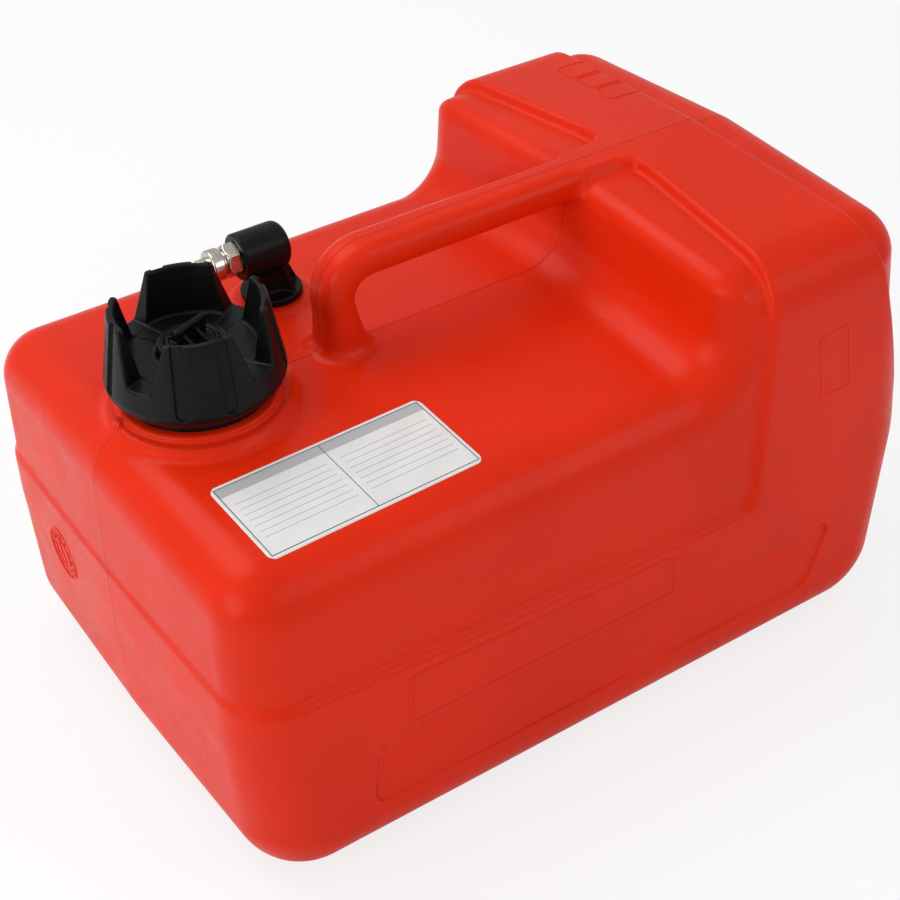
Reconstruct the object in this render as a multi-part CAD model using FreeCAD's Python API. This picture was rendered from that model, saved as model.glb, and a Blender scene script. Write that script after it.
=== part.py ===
import FreeCAD, Part
import math
import os

from FreeCAD import Vector as V

# driving sizes, millimetres
tank_length = 360.0
tank_width = 240.0
tank_height = 220.0
shoulder_height = 172.0
wall = 3.0
side_radius = 24.0
pocket_depth = 4.2
belt_height = 96.0
belt_tilt = 0.05
shoulder_fall = 0.07
block_fall = 0.046
end_fall = 0.023
band_x = 93.0
band_slant = 0.11
block_x = 61.0
ledge_drop = 5.0
back_inset = 3.0
floor_groove_depth = 1.6
floor_groove_width = 18.0
handle_width = 20.5
handle_thickness = 18.0
handle_wall = 2.5
handle_leg_x = -60.0
handle_bend = 15.0
handle_foot_width = 29.0
handle_foot_length = 29.0
handle_foot_round = 8.0
handle_foot_shift = 4.3
handle_root_round = 14.0
side_lean_low = 8.0
side_lean_high = 13.5
side_bulge_height = 98.0
floor_trim = 0.4
panel_depth = 1.2

neck_x = -127.0
neck_radius = 28.0
neck_bore = 24.5
neck_rise = 20.0
neck_ring_radius = 32.5
collar_radius = 38.5

turn_clearance = 0.08
cap_thread_wall = 2.4
cap_radius = 37.5
cap_deck = 2.6
cap_foot_gap = 0.4
cap_belly_rise = 9.6
tab_height = 22.0
tab_angle = -114.0
tab_lean = 4.8
tab_foot_wall = 9.8
tab_top_wall = 2.8
notch_half_low = 9.5
notch_half_high = 19.5
channel_angle = 15.5
channel_width = 5.0
channel_depth = 1.05
hub_reach = 9.0
baffle_drop = 14.8
gasket_thickness = 1.8
baffle_radius = 22.3
vent_hub_radius = 8.0
hub_bead = 0.5
vent_stem_radius = 4.0
vent_disc_radius = 10.6

outlet_x = -60.5
outlet_y = 56.0
outlet_bore = 7.5
flange_radius = 14.0
flange_thickness = 3.0
outlet_gasket_thickness = 1.2
barrel_radius = 10.75
barrel_rise = 20.1
barrel_front = 16.0
barrel_back = 11.5
column_radius = 7.6
rib_thickness = 2.2
rib_turn = 62.0
tube_radius = 4.5
tube_wall = 1.25
pickup_gap = 1.2
pickup_foot = 1.6
screen_height = 7.2
cage_collar = 6.0

connector_hex = 14.0
connector_shank = 6.0
valve_bore = 3.3
valve_stem = 1.3
spring_wire = 0.32

label_length = 95.5
label_width = 44.5
label_thickness = 0.3
label_x = -101.5
label_y = -74.5
label_turn = 1.6

# levels that follow from the sizes above
half_l = tank_length / 2.0
half_w = tank_width / 2.0
collar_top = shoulder_height + 1.8
ring_top = collar_top + 1.6
rim_z = shoulder_height + neck_rise
deck_z = rim_z + gasket_thickness
deck_top = deck_z + cap_deck
hub_low = deck_z - hub_reach
baffle_z = deck_z - baffle_drop
boss_z = shoulder_height - shoulder_fall * outlet_y + 1.2
flange_z = boss_z + outlet_gasket_thickness
barrel_z = flange_z + flange_thickness + barrel_rise
barrel_face = outlet_x - barrel_front
pickup_low = wall + pickup_gap
screen_low = pickup_low + pickup_foot
screen_top = screen_low + screen_height


def line_cross(p, d, q, e):
    k = d[0] * e[1] - d[1] * e[0]
    t = ((q[0] - p[0]) * e[1] - (q[1] - p[1]) * e[0]) / k
    return (p[0] + d[0] * t, p[1] + d[1] * t)


def inset_points(points, insets):
    # move every side of a clockwise outline inwards by its own amount
    n = len(points)
    lines = []
    for i in range(n):
        a = points[i]
        b = points[(i + 1) % n]
        dx = b[0] - a[0]
        dz = b[1] - a[1]
        s = math.hypot(dx, dz)
        dx = dx / s
        dz = dz / s
        lines.append(((a[0] + dz * insets[i], a[1] - dx * insets[i]), (dx, dz)))
    out = []
    for i in range(n):
        p, d = lines[i - 1]
        q, e = lines[i]
        out.append(line_cross(p, d, q, e))
    return out


def round_wire(points, radii, y):
    # closed wire in the plane of constant y, each corner rounded
    n = len(points)
    corners = []
    for i in range(n):
        a = points[i - 1]
        b = points[i]
        c = points[(i + 1) % n]
        u = (a[0] - b[0], a[1] - b[1])
        w = (c[0] - b[0], c[1] - b[1])
        lu = math.hypot(u[0], u[1])
        lw = math.hypot(w[0], w[1])
        u = (u[0] / lu, u[1] / lu)
        w = (w[0] / lw, w[1] / lw)
        half = math.acos(max(-1.0, min(1.0, u[0] * w[0] + u[1] * w[1]))) / 2.0
        t = radii[i] / math.tan(half)
        s = V(b[0] + u[0] * t, y, b[1] + u[1] * t)
        e = V(b[0] + w[0] * t, y, b[1] + w[1] * t)
        m = (u[0] + w[0], u[1] + w[1])
        lm = math.hypot(m[0], m[1])
        k = radii[i] / math.sin(half)
        cen = (b[0] + m[0] / lm * k, b[1] + m[1] / lm * k)
        mid = V(cen[0] - m[0] / lm * radii[i], y, cen[1] - m[1] / lm * radii[i])
        corners.append((s, mid, e))
    edges = []
    for i in range(n):
        s, mid, e = corners[i]
        nxt = corners[(i + 1) % n][0]
        edges.append(Part.Arc(s, mid, e).toShape())
        edges.append(Part.LineSegment(e, nxt).toShape())
    return Part.Wire(edges)


def drafted_half(points, radii, convex, falls, rounding, width, radius, shrink):
    # one mould half: straight draft from the parting plane, then the soft side edge
    def wire(y, turn):
        insets = []
        for i in range(len(points)):
            insets.append(shrink + falls[i] * y + rounding[i] * turn)
        moved = inset_points(points, insets)
        rr = []
        for i in range(len(points)):
            if convex[i]:
                near = max(insets[i - 1], insets[i])
                rr.append(max(radii[i] - near, 2.0))
            else:
                near = min(insets[i - 1], insets[i])
                rr.append(radii[i] + max(near, 0.0))
        return round_wire(moved, rr, y)
    w = width - shrink
    r = radius - shrink
    core = Part.makeLoft([wire(0.0, 0.0), wire(w - r, 0.0)], True, True)
    sections = []
    for deg in (0.0, 22.0, 44.0, 62.0, 78.0, 90.0):
        a = math.radians(deg)
        sections.append(wire(w - r + r * math.sin(a), r * (1.0 - math.cos(a))))
    edge = Part.makeLoft(sections, True, False)
    return core.fuse(edge)


def drafted_body(points, radii, convex, falls, rounding, width, radius, shrink=0.0):
    half = drafted_half(points, radii, convex, falls, rounding, width, radius, shrink)
    other = half.mirror(V(0, 0, 0), V(0, 1, 0))
    return half.fuse(other)


def outer_body(shrink=0.0, extra=0.0):
    # belt and back band: the full size outline, L shaped seen from the side
    right = half_l - extra
    high = tank_height - extra
    belt_left = belt_height + belt_tilt * half_l
    belt_right = belt_height - belt_tilt * 82.0
    points = [(-half_l + 3.7, -floor_trim), (-half_l + 0.8, 66.0), (-half_l + 0.3, belt_left),
              (band_x, belt_right), (band_x, high),
              (right - side_lean_high, high), (right, side_bulge_height), (right - side_lean_low, -floor_trim)]
    radii = [31.0, 60.0, 2.5, 9.0, 3.0, 30.0, 90.0, 31.0]
    convex = [True, True, True, False, True, True, True, True]
    falls = [end_fall, end_fall, -0.01, -band_slant, block_fall, end_fall, end_fall, 0.0]
    rounding = [1.0, 1.0, 0.0, 0.0, 1.0, 1.0, 1.0, 1.0]
    return drafted_body(points, radii, convex, falls, rounding, half_w - extra, side_radius, shrink)


def inner_body(shrink=0.0):
    # shoulder and the front of the tall block, set back from the belt
    level = tank_height - ledge_drop
    points = [(-half_l + 14.0, 40.0), (-half_l + 0.2, 75.0), (-half_l + 1.8, shoulder_height),
              (block_x - 2.0, shoulder_height), (block_x + 1.5, level),
              (135.0, level), (135.0, 40.0)]
    radii = [6.0, 60.0, 21.0, 18.0, 9.0, 12.0, 6.0]
    convex = [True, True, True, False, True, True, True]
    falls = [end_fall, end_fall, shoulder_fall, 0.0, block_fall, 0.0, 0.0]
    rounding = [1.0, 1.0, 1.0, 1.0, 1.0, 1.0, 1.0]
    return drafted_body(points, radii, convex, falls, rounding, half_w - pocket_depth,
                        side_radius - 2.0, shrink)


def prism_y(points, y0, y1):
    face = Part.Face(Part.makePolygon([V(p[0], y0, p[1]) for p in points + points[:1]]))
    return face.extrude(V(0, y1 - y0, 0))


def prism_z(points, z0, z1):
    face = Part.Face(Part.makePolygon([V(p[0], p[1], z0) for p in points + points[:1]]))
    return face.extrude(V(0, 0, z1 - z0))


def cyl(r, z0, z1, x=0.0, y=0.0):
    return Part.makeCylinder(r, z1 - z0, V(x, y, z0), V(0, 0, 1))


def cyl_x(r, x0, x1, y=0.0, z=0.0):
    return Part.makeCylinder(r, x1 - x0, V(x0, y, z), V(1, 0, 0))


def ring(r_out, r_in, z0, z1, x=0.0, y=0.0):
    return cyl(r_out, z0, z1, x, y).cut(cyl(r_in, z0 - 1.0, z1 + 1.0, x, y))


def revolve_z(profile, x, y):
    # profile of (radius, height) pairs turned round a vertical axis
    face = Part.Face(Part.makePolygon([V(p[0], 0, p[1]) for p in profile + profile[:1]]))
    solid = face.revolve(V(0, 0, 0), V(0, 0, 1), 360)
    solid.translate(V(x, y, 0))
    return solid


def revolve_x(profile, y, z):
    # profile of (position, radius) pairs turned round an axis along x
    face = Part.Face(Part.makePolygon([V(p[0], 0, p[1]) for p in profile + profile[:1]]))
    solid = face.revolve(V(0, 0, 0), V(1, 0, 0), 360)
    solid.translate(V(0, y, z))
    return solid


def one_solid(shape):
    solids = sorted(shape.Solids, key=lambda s: -s.Volume)
    return solids[0]


def handle_section(x, z, angle, width, thick):
    # rounded section square to the path; angle turns from level to upright
    r = min(width, thick) * 0.42
    w = width / 2.0
    t = thick / 2.0
    pts = [(-w, -t), (-w, t), (w, t), (w, -t)]
    a = math.radians(angle)
    n = V(-math.sin(a), 0, math.cos(a))
    side = V(0, 1, 0)

    def at(u, v):
        return V(x, 0, z) + side * u + n * v
    edges = []
    corners = []
    for i in range(4):
        b = pts[i]
        p = pts[i - 1]
        q = pts[(i + 1) % 4]
        u = ((p[0] - b[0]), (p[1] - b[1]))
        lu = math.hypot(u[0], u[1])
        g = ((q[0] - b[0]), (q[1] - b[1]))
        lg = math.hypot(g[0], g[1])
        s = (b[0] + u[0] / lu * r, b[1] + u[1] / lu * r)
        e = (b[0] + g[0] / lg * r, b[1] + g[1] / lg * r)
        k = 1.0 - math.sqrt(0.5)
        mid = (b[0] + (u[0] / lu + g[0] / lg) * r * k, b[1] + (u[1] / lu + g[1] / lg) * r * k)
        corners.append((s, mid, e))
    for i in range(4):
        s, mid, e = corners[i]
        nxt = corners[(i + 1) % 4][0]
        edges.append(Part.Arc(at(*s), at(*mid), at(*e)).toShape())
        edges.append(Part.LineSegment(at(*e), at(*nxt)).toShape())
    return Part.Wire(edges)


def handle_path():
    # centre of the bend, and the angle at which the leg leaves it straight for the foot
    bend_x = handle_leg_x + handle_bend
    bend_z = tank_height - handle_thickness / 2.0 - handle_bend
    foot_x = handle_leg_x - handle_foot_shift
    foot_z = shoulder_height - 6.0
    reach = math.hypot(foot_x - bend_x, foot_z - bend_z)
    turn = 90.0 - math.degrees(math.atan2(bend_z - foot_z, bend_x - foot_x) - math.acos(handle_bend / reach))
    return bend_x, bend_z, foot_x, foot_z, turn


def leg_section(z, shrink, growth):
    # level section of the leg at height z, between the end of the bend and the foot
    bend_x, bend_z, foot_x, foot_z, turn = handle_path()
    top_x = bend_x - handle_bend * math.sin(math.radians(turn))
    top_z = bend_z + handle_bend * math.cos(math.radians(turn))
    share = (top_z - z) / (top_z - foot_z)
    width = handle_width + (handle_foot_width - handle_width) * share
    length = handle_thickness + (handle_foot_length - handle_thickness) * share
    more = 2.0 * (growth - shrink)
    return handle_section(top_x + (foot_x - top_x) * share, z, 90.0, width + more, length + more)


def handle_body(shrink=0.0):
    # level grip, one bend, and a leg that widens into the shoulder
    w = handle_width - 2.0 * shrink
    t = handle_thickness - 2.0 * shrink
    bend_x, bend_z, foot_x, foot_z, turn = handle_path()
    a = math.radians(turn)
    start = Part.Face(handle_section(bend_x, bend_z + handle_bend, 0.0, w, t))
    grip = start.extrude(V(band_x + 10.0 - bend_x, 0, 0))
    bend = start.revolve(V(bend_x, 0, bend_z), V(0, -1, 0), turn)
    upper = handle_section(bend_x - handle_bend * math.sin(a), bend_z + handle_bend * math.cos(a), turn, w, t)
    leg = Part.makeLoft([upper, leg_section(foot_z - 2.0 * shrink, shrink, 0.0)], True, True)
    return grip.fuse([bend, leg])


def handle_foot():
    # hollow round at the foot of the leg, where it runs out into the shoulder
    sections = []
    for deg in (0.0, 20.0, 40.0, 60.0, 80.0):
        a = math.radians(deg)
        growth = handle_foot_round * (1.0 - math.cos(a)) - 0.05
        sections.append(leg_section(shoulder_height + handle_foot_round * (1.0 - math.sin(a)), 0.0, growth))
    flare = Part.makeLoft(sections, True, False)
    base = Part.Face(sections[-1]).extrude(V(0, 0, -handle_foot_round))
    return flare.fuse(base)


def handle_root():
    # flared web in plan where the handle meets the band
    w = handle_width / 2.0
    r = handle_root_round
    x0 = band_x - r
    x1 = band_x + 8.0
    k = math.sqrt(0.5)
    edges = []
    for s in (1.0, -1.0):
        edges.append(Part.LineSegment(V(x0 - 12.0, s * w, 0), V(x0, s * w, 0)).toShape())
        edges.append(Part.Arc(V(x0, s * w, 0), V(x0 + r * k, s * (w + r - r * k), 0),
                              V(x0 + r, s * (w + r), 0)).toShape())
        edges.append(Part.LineSegment(V(x0 + r, s * (w + r), 0), V(x1, s * (w + r), 0)).toShape())
    edges.append(Part.LineSegment(V(x0 - 12.0, w, 0), V(x0 - 12.0, -w, 0)).toShape())
    edges.append(Part.LineSegment(V(x1, w + r, 0), V(x1, -w - r, 0)).toShape())
    plan = Part.Face(Part.Wire(Part.__sortEdges__(edges))).extrude(V(0, 0, 260.0))
    low = tank_height - handle_thickness * 0.6
    roof = [(-40.0, low), (-40.0, tank_height - 40.0 * block_fall), (0.0, tank_height),
            (40.0, tank_height - 40.0 * block_fall), (40.0, low)]
    face = Part.Face(Part.makePolygon([V(0, q[0], q[1]) for q in roof + roof[:1]]))
    return plan.common(face.extrude(V(200.0, 0, 0)))


def stepped_outline(shrink=0.0):
    # full outline with the shallow inset across the upper back, joined to the shoulder
    body = outer_body(shrink)
    small = outer_body(shrink, back_inset)
    region = prism_y([(136.0, tank_height - 2.0), (168.0, 124.0), (260.0, 112.0), (260.0, 300.0),
                      (108.0, 300.0)], -200.0, 200.0)
    region.translate(V(0, 0, -shrink))
    body = body.cut(region.cut(small))
    return body.fuse(inner_body(shrink))


def label_plate(outer):
    w = label_width / 2.0
    l = label_length / 2.0
    plate = Part.makeBox(label_length, label_width, 60.0, V(-l, -w, 0))
    corners = [e for e in plate.Edges if abs(e.Vertexes[0].Z - e.Vertexes[-1].Z) > 1.0]
    plate = plate.makeFillet(3.5, corners)
    plate.rotate(V(0, 0, 0), V(0, 0, 1), label_turn)
    plate.translate(V(label_x, label_y, 130.0))
    lifted = outer.copy()
    lifted.translate(V(0, 0, label_thickness))
    return one_solid(plate.common(lifted).cut(outer))


def side_panel():
    # bare sunk panel low on the near side, one end slanted
    corners = [(-124.0, 30.0), (-121.0, 64.5), (130.0, 62.5), (118.0, 28.0)]
    edge = round_wire(corners, [7.0, 7.0, 7.0, 7.0], -half_w - 5.0)
    return Part.Face(edge).extrude(V(0, 5.0 + panel_depth, 0))


def build_tank():
    outer = stepped_outline()
    label = label_plate(outer)
    body = outer.fuse([handle_body(), handle_foot(), handle_root()]).cut(side_panel())
    collar = revolve_z([(0, 150.0), (collar_radius + 3.0, 150.0), (collar_radius + 3.0, shoulder_height - 2.6),
                        (collar_radius, collar_top - 1.0), (collar_radius - 2.2, collar_top), (0, collar_top)],
                       neck_x, 0.0)
    neck = cyl(neck_ring_radius, 160.0, ring_top, neck_x).fuse(cyl(neck_radius, 160.0, rim_z, neck_x))
    lug = Part.makeBox(6.0, 5.0, ring_top - 160.0, V(neck_x - neck_ring_radius - 3.0, -2.5, 160.0))
    boss = revolve_z([(0, 150.0), (19.5, 150.0), (19.5, boss_z - 2.6), (17.0, boss_z), (0, boss_z)],
                     outlet_x, outlet_y)
    body = body.fuse([collar, neck, lug, boss])
    cavity = stepped_outline(wall)
    hollow = cavity.fuse([handle_body(handle_wall), cyl(neck_bore, 140.0, rim_z + 5.0, neck_x),
                          cyl(outlet_bore, 140.0, boss_z + 5.0, outlet_x, outlet_y)])
    shell = body.cut(hollow)
    groove = prism_y([(-half_l - 5.0, -5.0), (-half_l - 5.0, floor_groove_depth),
                      (half_l + 5.0, floor_groove_depth), (half_l + 5.0, -5.0)],
                     -floor_groove_width / 2.0, floor_groove_width / 2.0)
    under = Part.makeBox(3.0 * tank_length, 3.0 * tank_width, 50.0,
                         V(-1.5 * tank_length, -1.5 * tank_width, -50.0))
    print("fuel to the brim, litres", round(cavity.Volume / 1.0e6, 2))
    return one_solid(shell.cut(groove).cut(under)), label


def sector_wire(half_angle, z):
    # plan of a notch at height z: a sector from near the axis out past the cap
    near = 4.0
    far = 60.0
    k = math.tan(math.radians(half_angle))
    return Part.makePolygon([V(near, -near * k, z), V(far, -far * k, z), V(far, far * k, z),
                             V(near, near * k, z), V(near, -near * k, z)])


def cap_shell():
    r = cap_radius
    skirt_in = neck_radius + turn_clearance + cap_thread_wall
    low = ring_top + cap_foot_gap
    body = revolve_z([(skirt_in, low), (skirt_in + 1.9, low), (skirt_in + 3.6, low + 1.6),
                      (r, low + cap_belly_rise), (r + 0.05, low + cap_belly_rise + 2.0), (r - 0.45, deck_top), (0, deck_top),
                      (0, deck_z), (skirt_in, deck_z)], neck_x, 0.0)
    tab_top = deck_top + tab_height
    foot_out = r - 0.4
    top_out = foot_out - tab_lean
    tabs = revolve_z([(foot_out - tab_foot_wall, deck_top - 0.5), (foot_out, deck_top - 0.5), (top_out, tab_top),
                      (top_out - tab_top_wall, tab_top)], neck_x, 0.0)
    for i in range(4):
        notch = Part.makeLoft([sector_wire(notch_half_low, deck_top), sector_wire(notch_half_high, tab_top + 1.0)],
                              True, True)
        notch.rotate(V(0, 0, 0), V(0, 0, 1), tab_angle + 45.0 + 90.0 * i)
        notch.translate(V(neck_x, 0, 0))
        tabs = tabs.cut(notch)
    body = body.fuse(tabs.Solids)
    lean = math.degrees(math.atan2(tab_lean, tab_height))
    for i in range(4):
        for side in (-channel_angle, channel_angle):
            slot = Part.makeBox(3.0, channel_width, tab_height + 7.0, V(0, -channel_width / 2.0, 0))
            slot.rotate(V(0, 0, 0), V(0, 1, 0), -lean)
            slot.translate(V(r - channel_depth, 0, deck_top - 9.5))
            slot.rotate(V(0, 0, 0), V(0, 0, 1), tab_angle + 90.0 * i + side)
            slot.translate(V(neck_x, 0, 0))
            body = body.cut(slot)
    lip = ring(vent_disc_radius + 2.6, vent_disc_radius + 0.5, deck_top - 0.2, deck_top + 1.4, neck_x)
    hub = cyl(vent_hub_radius, hub_low, deck_z + 0.2, neck_x)
    bead = cyl(vent_hub_radius + hub_bead, hub_low, hub_low + 1.5, neck_x)
    bore = cyl(vent_stem_radius + turn_clearance, hub_low - 1.0, deck_top + 1.0, neck_x)
    return one_solid(body.fuse([lip, hub, bead]).cut(bore))


def cap_thread_ring():
    r_in = neck_radius + turn_clearance
    return ring(r_in + cap_thread_wall, r_in, ring_top + 1.6, deck_z, neck_x)


def cap_gasket():
    return ring(neck_radius - 0.1, neck_bore + 0.1, rim_z, deck_z, neck_x)


def vent_knob():
    z = deck_top
    disc = cyl(vent_disc_radius, z, z + 2.0, neck_x)
    disc = disc.makeFillet(0.6, [e for e in disc.Edges if e.BoundBox.ZMin > z + 1.9])
    stem = cyl(vent_stem_radius, hub_low - 0.2, z + 0.5, neck_x)
    neck = cyl(vent_stem_radius - 1.2, hub_low - 3.0, hub_low - 0.2, neck_x)
    groove = ring(vent_stem_radius + 1.0, vent_stem_radius - 0.9, deck_z - 5.6, deck_z - 3.6, neck_x)
    grip = prism_y([(-9.0, z + 1.5), (-7.6, z + 7.6), (-5.4, z + 8.8), (8.6, z + 3.4), (9.4, z + 1.5)], -1.6, 1.6)
    grip.rotate(V(0, 0, 0), V(0, 0, 1), -150.0)
    grip.translate(V(neck_x, 0, 0))
    fins = []
    for turn in (-105.0, 165.0):
        fin = prism_y([(0.5, z + 1.5), (0.5, z + 4.6), (8.0, z + 1.9), (8.0, z + 1.5)], -0.6, 0.6)
        fin.rotate(V(0, 0, 0), V(0, 0, 1), turn)
        fin.translate(V(neck_x, 0, 0))
        fins.append(fin)
    body = disc.fuse([stem, neck, grip] + fins).cut(groove)
    return one_solid(body.cut(cyl(1.2, hub_low - 4.0, deck_z - 1.0, neck_x)))


def vent_oring():
    r = vent_stem_radius
    return ring(r + turn_clearance - 0.01, r - 0.9, deck_z - 5.5, deck_z - 3.7, neck_x)


def vent_retainer():
    return ring(vent_stem_radius + 2.2, vent_stem_radius - 1.2, hub_low - 1.8, hub_low - 0.2, neck_x)


def vent_baffle():
    # splash plate that snaps over the bead of the vent hub and swivels on it
    z = baffle_z
    disc = cyl(baffle_radius, z, z + 1.6, neck_x)
    clip = cyl(vent_hub_radius + 2.6, z, deck_z - 2.0, neck_x)
    body = disc.fuse(clip)
    bead = vent_hub_radius + hub_bead + turn_clearance
    body = body.cut(cyl(bead, z + 1.6, hub_low + 1.5 + turn_clearance, neck_x))
    body = body.cut(cyl(vent_hub_radius + turn_clearance, z + 1.6, deck_z, neck_x))
    for i in range(6):
        a = math.radians(60.0 * i + 30.0)
        body = body.cut(cyl(2.4, z - 1, z + 3, neck_x + 15.5 * math.cos(a), 15.5 * math.sin(a)))
    return one_solid(body.cut(cyl(1.0, z - 1, z + 3, neck_x)))


def vent_umbrella():
    z = baffle_z
    head = cyl(5.2, z - 1.1, z, neck_x)
    stem = cyl(1.0, z - 0.5, z + 2.2, neck_x)
    knob = cyl(1.7, z + 1.6, z + 2.2, neck_x)
    return one_solid(head.fuse([stem, knob]))


def outlet_body():
    x = outlet_x
    y = outlet_y
    shank = cyl(outlet_bore, boss_z - 12.0, flange_z, x, y)
    flange = cyl(flange_radius, flange_z, flange_z + flange_thickness, x, y)
    flange = flange.makeFillet(0.8, [e for e in flange.Edges if e.BoundBox.ZMin > flange_z + flange_thickness - 0.1])
    column = cyl(column_radius, flange_z + 1.0, barrel_z, x, y)
    back = x + barrel_back
    barrel = cyl_x(barrel_radius, barrel_face, back, y, barrel_z)
    barrel = barrel.makeFillet(4.0, [e for e in barrel.Edges if e.BoundBox.XMin > back - 0.1])
    barrel = barrel.makeFillet(0.9, [e for e in barrel.Edges if e.BoundBox.XMax < barrel_face + 0.1])
    top = flange_z + flange_thickness
    rib = prism_y([(x + 3.0, top - 0.5), (x + 3.0, barrel_z - 6.0), (x + 8.0, barrel_z - 6.0),
                   (x + 13.0, top - 0.5)], y - rib_thickness / 2.0, y + rib_thickness / 2.0)
    rib2 = rib.copy()
    rib2.rotate(V(x, y, 0), V(0, 0, 1), rib_turn)
    rib3 = rib.copy()
    rib3.rotate(V(x, y, 0), V(0, 0, 1), -rib_turn)
    body = shank.fuse([flange, column, barrel, rib, rib2, rib3])
    way = cyl(tube_radius, boss_z - 13.0, boss_z + 2.0, x, y).fuse(
        [cyl(3.0, boss_z, barrel_z, x, y), cyl_x(3.0, barrel_face + 10.0, x + 3.0, y, barrel_z),
         cyl_x(connector_shank, barrel_face - 1.0, barrel_face + 12.0, y, barrel_z)])
    return one_solid(body.cut(way))


def outlet_gasket():
    return ring(flange_radius - 1.2, outlet_bore, boss_z, flange_z, outlet_x, outlet_y)


def along(profile):
    # profile of (distance out from the barrel face, radius), turned round the connector axis
    return revolve_x([(barrel_face - u, r) for u, r in profile], outlet_y, barrel_z)


def connector_body():
    hexagon = []
    for i in range(6):
        a = math.radians(60.0 * i + 12.0)
        rr = connector_hex / math.sqrt(3.0)
        hexagon.append(V(barrel_face - 6.5, outlet_y + rr * math.sin(a), barrel_z + rr * math.cos(a)))
    nut = Part.Face(Part.makePolygon(hexagon + hexagon[:1])).extrude(V(6.5, 0, 0))
    bevel = along([(-0.1, 0), (-0.1, 7.3), (0.6, 7.9), (5.4, 7.9), (6.6, 6.6), (6.6, 0)])
    nut = nut.common(bevel)
    rest = along([(-11.9, 0), (-11.9, connector_shank), (0.2, connector_shank), (6.0, 5.4), (8.0, 5.4),
                  (8.0, 6.2), (8.7, 6.9), (12.4, 6.9), (13.4, 6.0), (13.4, 4.7), (18.6, 4.7), (19.6, 3.5),
                  (20.2, 3.5), (20.2, 2.8), (21.6, 2.8), (21.6, 3.5), (22.6, 3.5), (23.4, 2.7), (23.4, 0)])
    bore = along([(-13.0, 0), (-13.0, valve_bore), (15.0, valve_bore), (15.0, 1.9), (25.0, 1.9), (25.0, 0)])
    return one_solid(nut.fuse(rest).cut(bore))


def connector_oring():
    return along([(20.25, 2.8), (20.25, 3.6), (20.6, 3.8), (21.2, 3.8), (21.55, 3.6), (21.55, 2.8)])


def valve_pin():
    return along([(3.0, 0), (3.0, valve_stem - 0.1), (11.6, valve_stem - 0.1), (11.6, 2.75), (13.4, 2.75),
                  (13.4, valve_stem), (22.2, valve_stem), (22.8, valve_stem - 0.5), (22.8, 0)])


def valve_seal():
    return along([(13.4, valve_stem), (13.4, 2.9), (15.0, 2.9), (15.0, valve_stem)])


def spring_seat():
    return along([(-6.2, valve_stem + 0.3), (-6.2, valve_bore), (-4.8, valve_bore), (-4.8, valve_stem + 0.3)])


def valve_spring():
    first = -4.8 + spring_wire
    last = 11.6 - spring_wire
    turns = 7.5
    mean = 2.3
    helix = Part.makeHelix((last - first) / turns, last - first, mean)
    section = Part.Wire(Part.makeCircle(spring_wire, V(mean, 0, 0), V(0, 1, 0)))
    coil = Part.Wire(helix).makePipeShell([section], True, True)
    coil.rotate(V(0, 0, 0), V(0, 1, 0), -90.0)
    coil.translate(V(barrel_face - first, outlet_y, barrel_z))
    return coil


def pickup_tube():
    return ring(tube_radius, tube_radius - tube_wall, screen_top, boss_z + 1.4, outlet_x, outlet_y)


def pickup_cage():
    # collar on the tube, four posts and a foot just above the tank floor
    x = outlet_x
    y = outlet_y
    collar_low = screen_top + 6.0
    collar = ring(tube_radius + 2.2, tube_radius, collar_low, collar_low + cage_collar, x, y)
    foot = cyl(tube_radius + 2.2, pickup_low, screen_low, x, y)
    posts = []
    for i in range(4):
        a = math.radians(90.0 * i + 45.0)
        reach = tube_radius + 1.15
        posts.append(cyl(0.8, pickup_low + 0.8, collar_low + 1.0, x + reach * math.cos(a), y + reach * math.sin(a)))
    return one_solid(collar.fuse([foot] + posts))


def pickup_screen():
    return ring(tube_radius - 0.25, tube_radius - 0.75, screen_low, screen_top, outlet_x, outlet_y)


if __name__ == "__main__":
    os.makedirs("parts", exist_ok=True)
    shell, label = build_tank()
    parts = {
        "tank_shell": shell,
        "label": label,
        "cap_shell": cap_shell(),
        "cap_thread_ring": cap_thread_ring(),
        "cap_gasket": cap_gasket(),
        "vent_knob": vent_knob(),
        "vent_oring": vent_oring(),
        "vent_retainer": vent_retainer(),
        "vent_baffle": vent_baffle(),
        "vent_umbrella": vent_umbrella(),
        "outlet_body": outlet_body(),
        "outlet_gasket": outlet_gasket(),
        "connector_body": connector_body(),
        "connector_oring": connector_oring(),
        "valve_pin": valve_pin(),
        "valve_seal": valve_seal(),
        "valve_spring": valve_spring(),
        "spring_seat": spring_seat(),
        "pickup_tube": pickup_tube(),
        "pickup_cage": pickup_cage(),
        "pickup_screen": pickup_screen(),
    }
    for name, shape in parts.items():
        print(name, shape.isValid(), len(shape.Solids), round(shape.Volume, 1))
        shape.exportStep("parts/" + name + ".step")
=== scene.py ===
from functools import reduce
from math import acos, atan2, cos, hypot, pi, radians, sin, sqrt, tan

import bpy
import numpy as np
from bpy.props import FloatProperty, FloatVectorProperty, PointerProperty
from mathutils import Matrix, Vector


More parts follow.
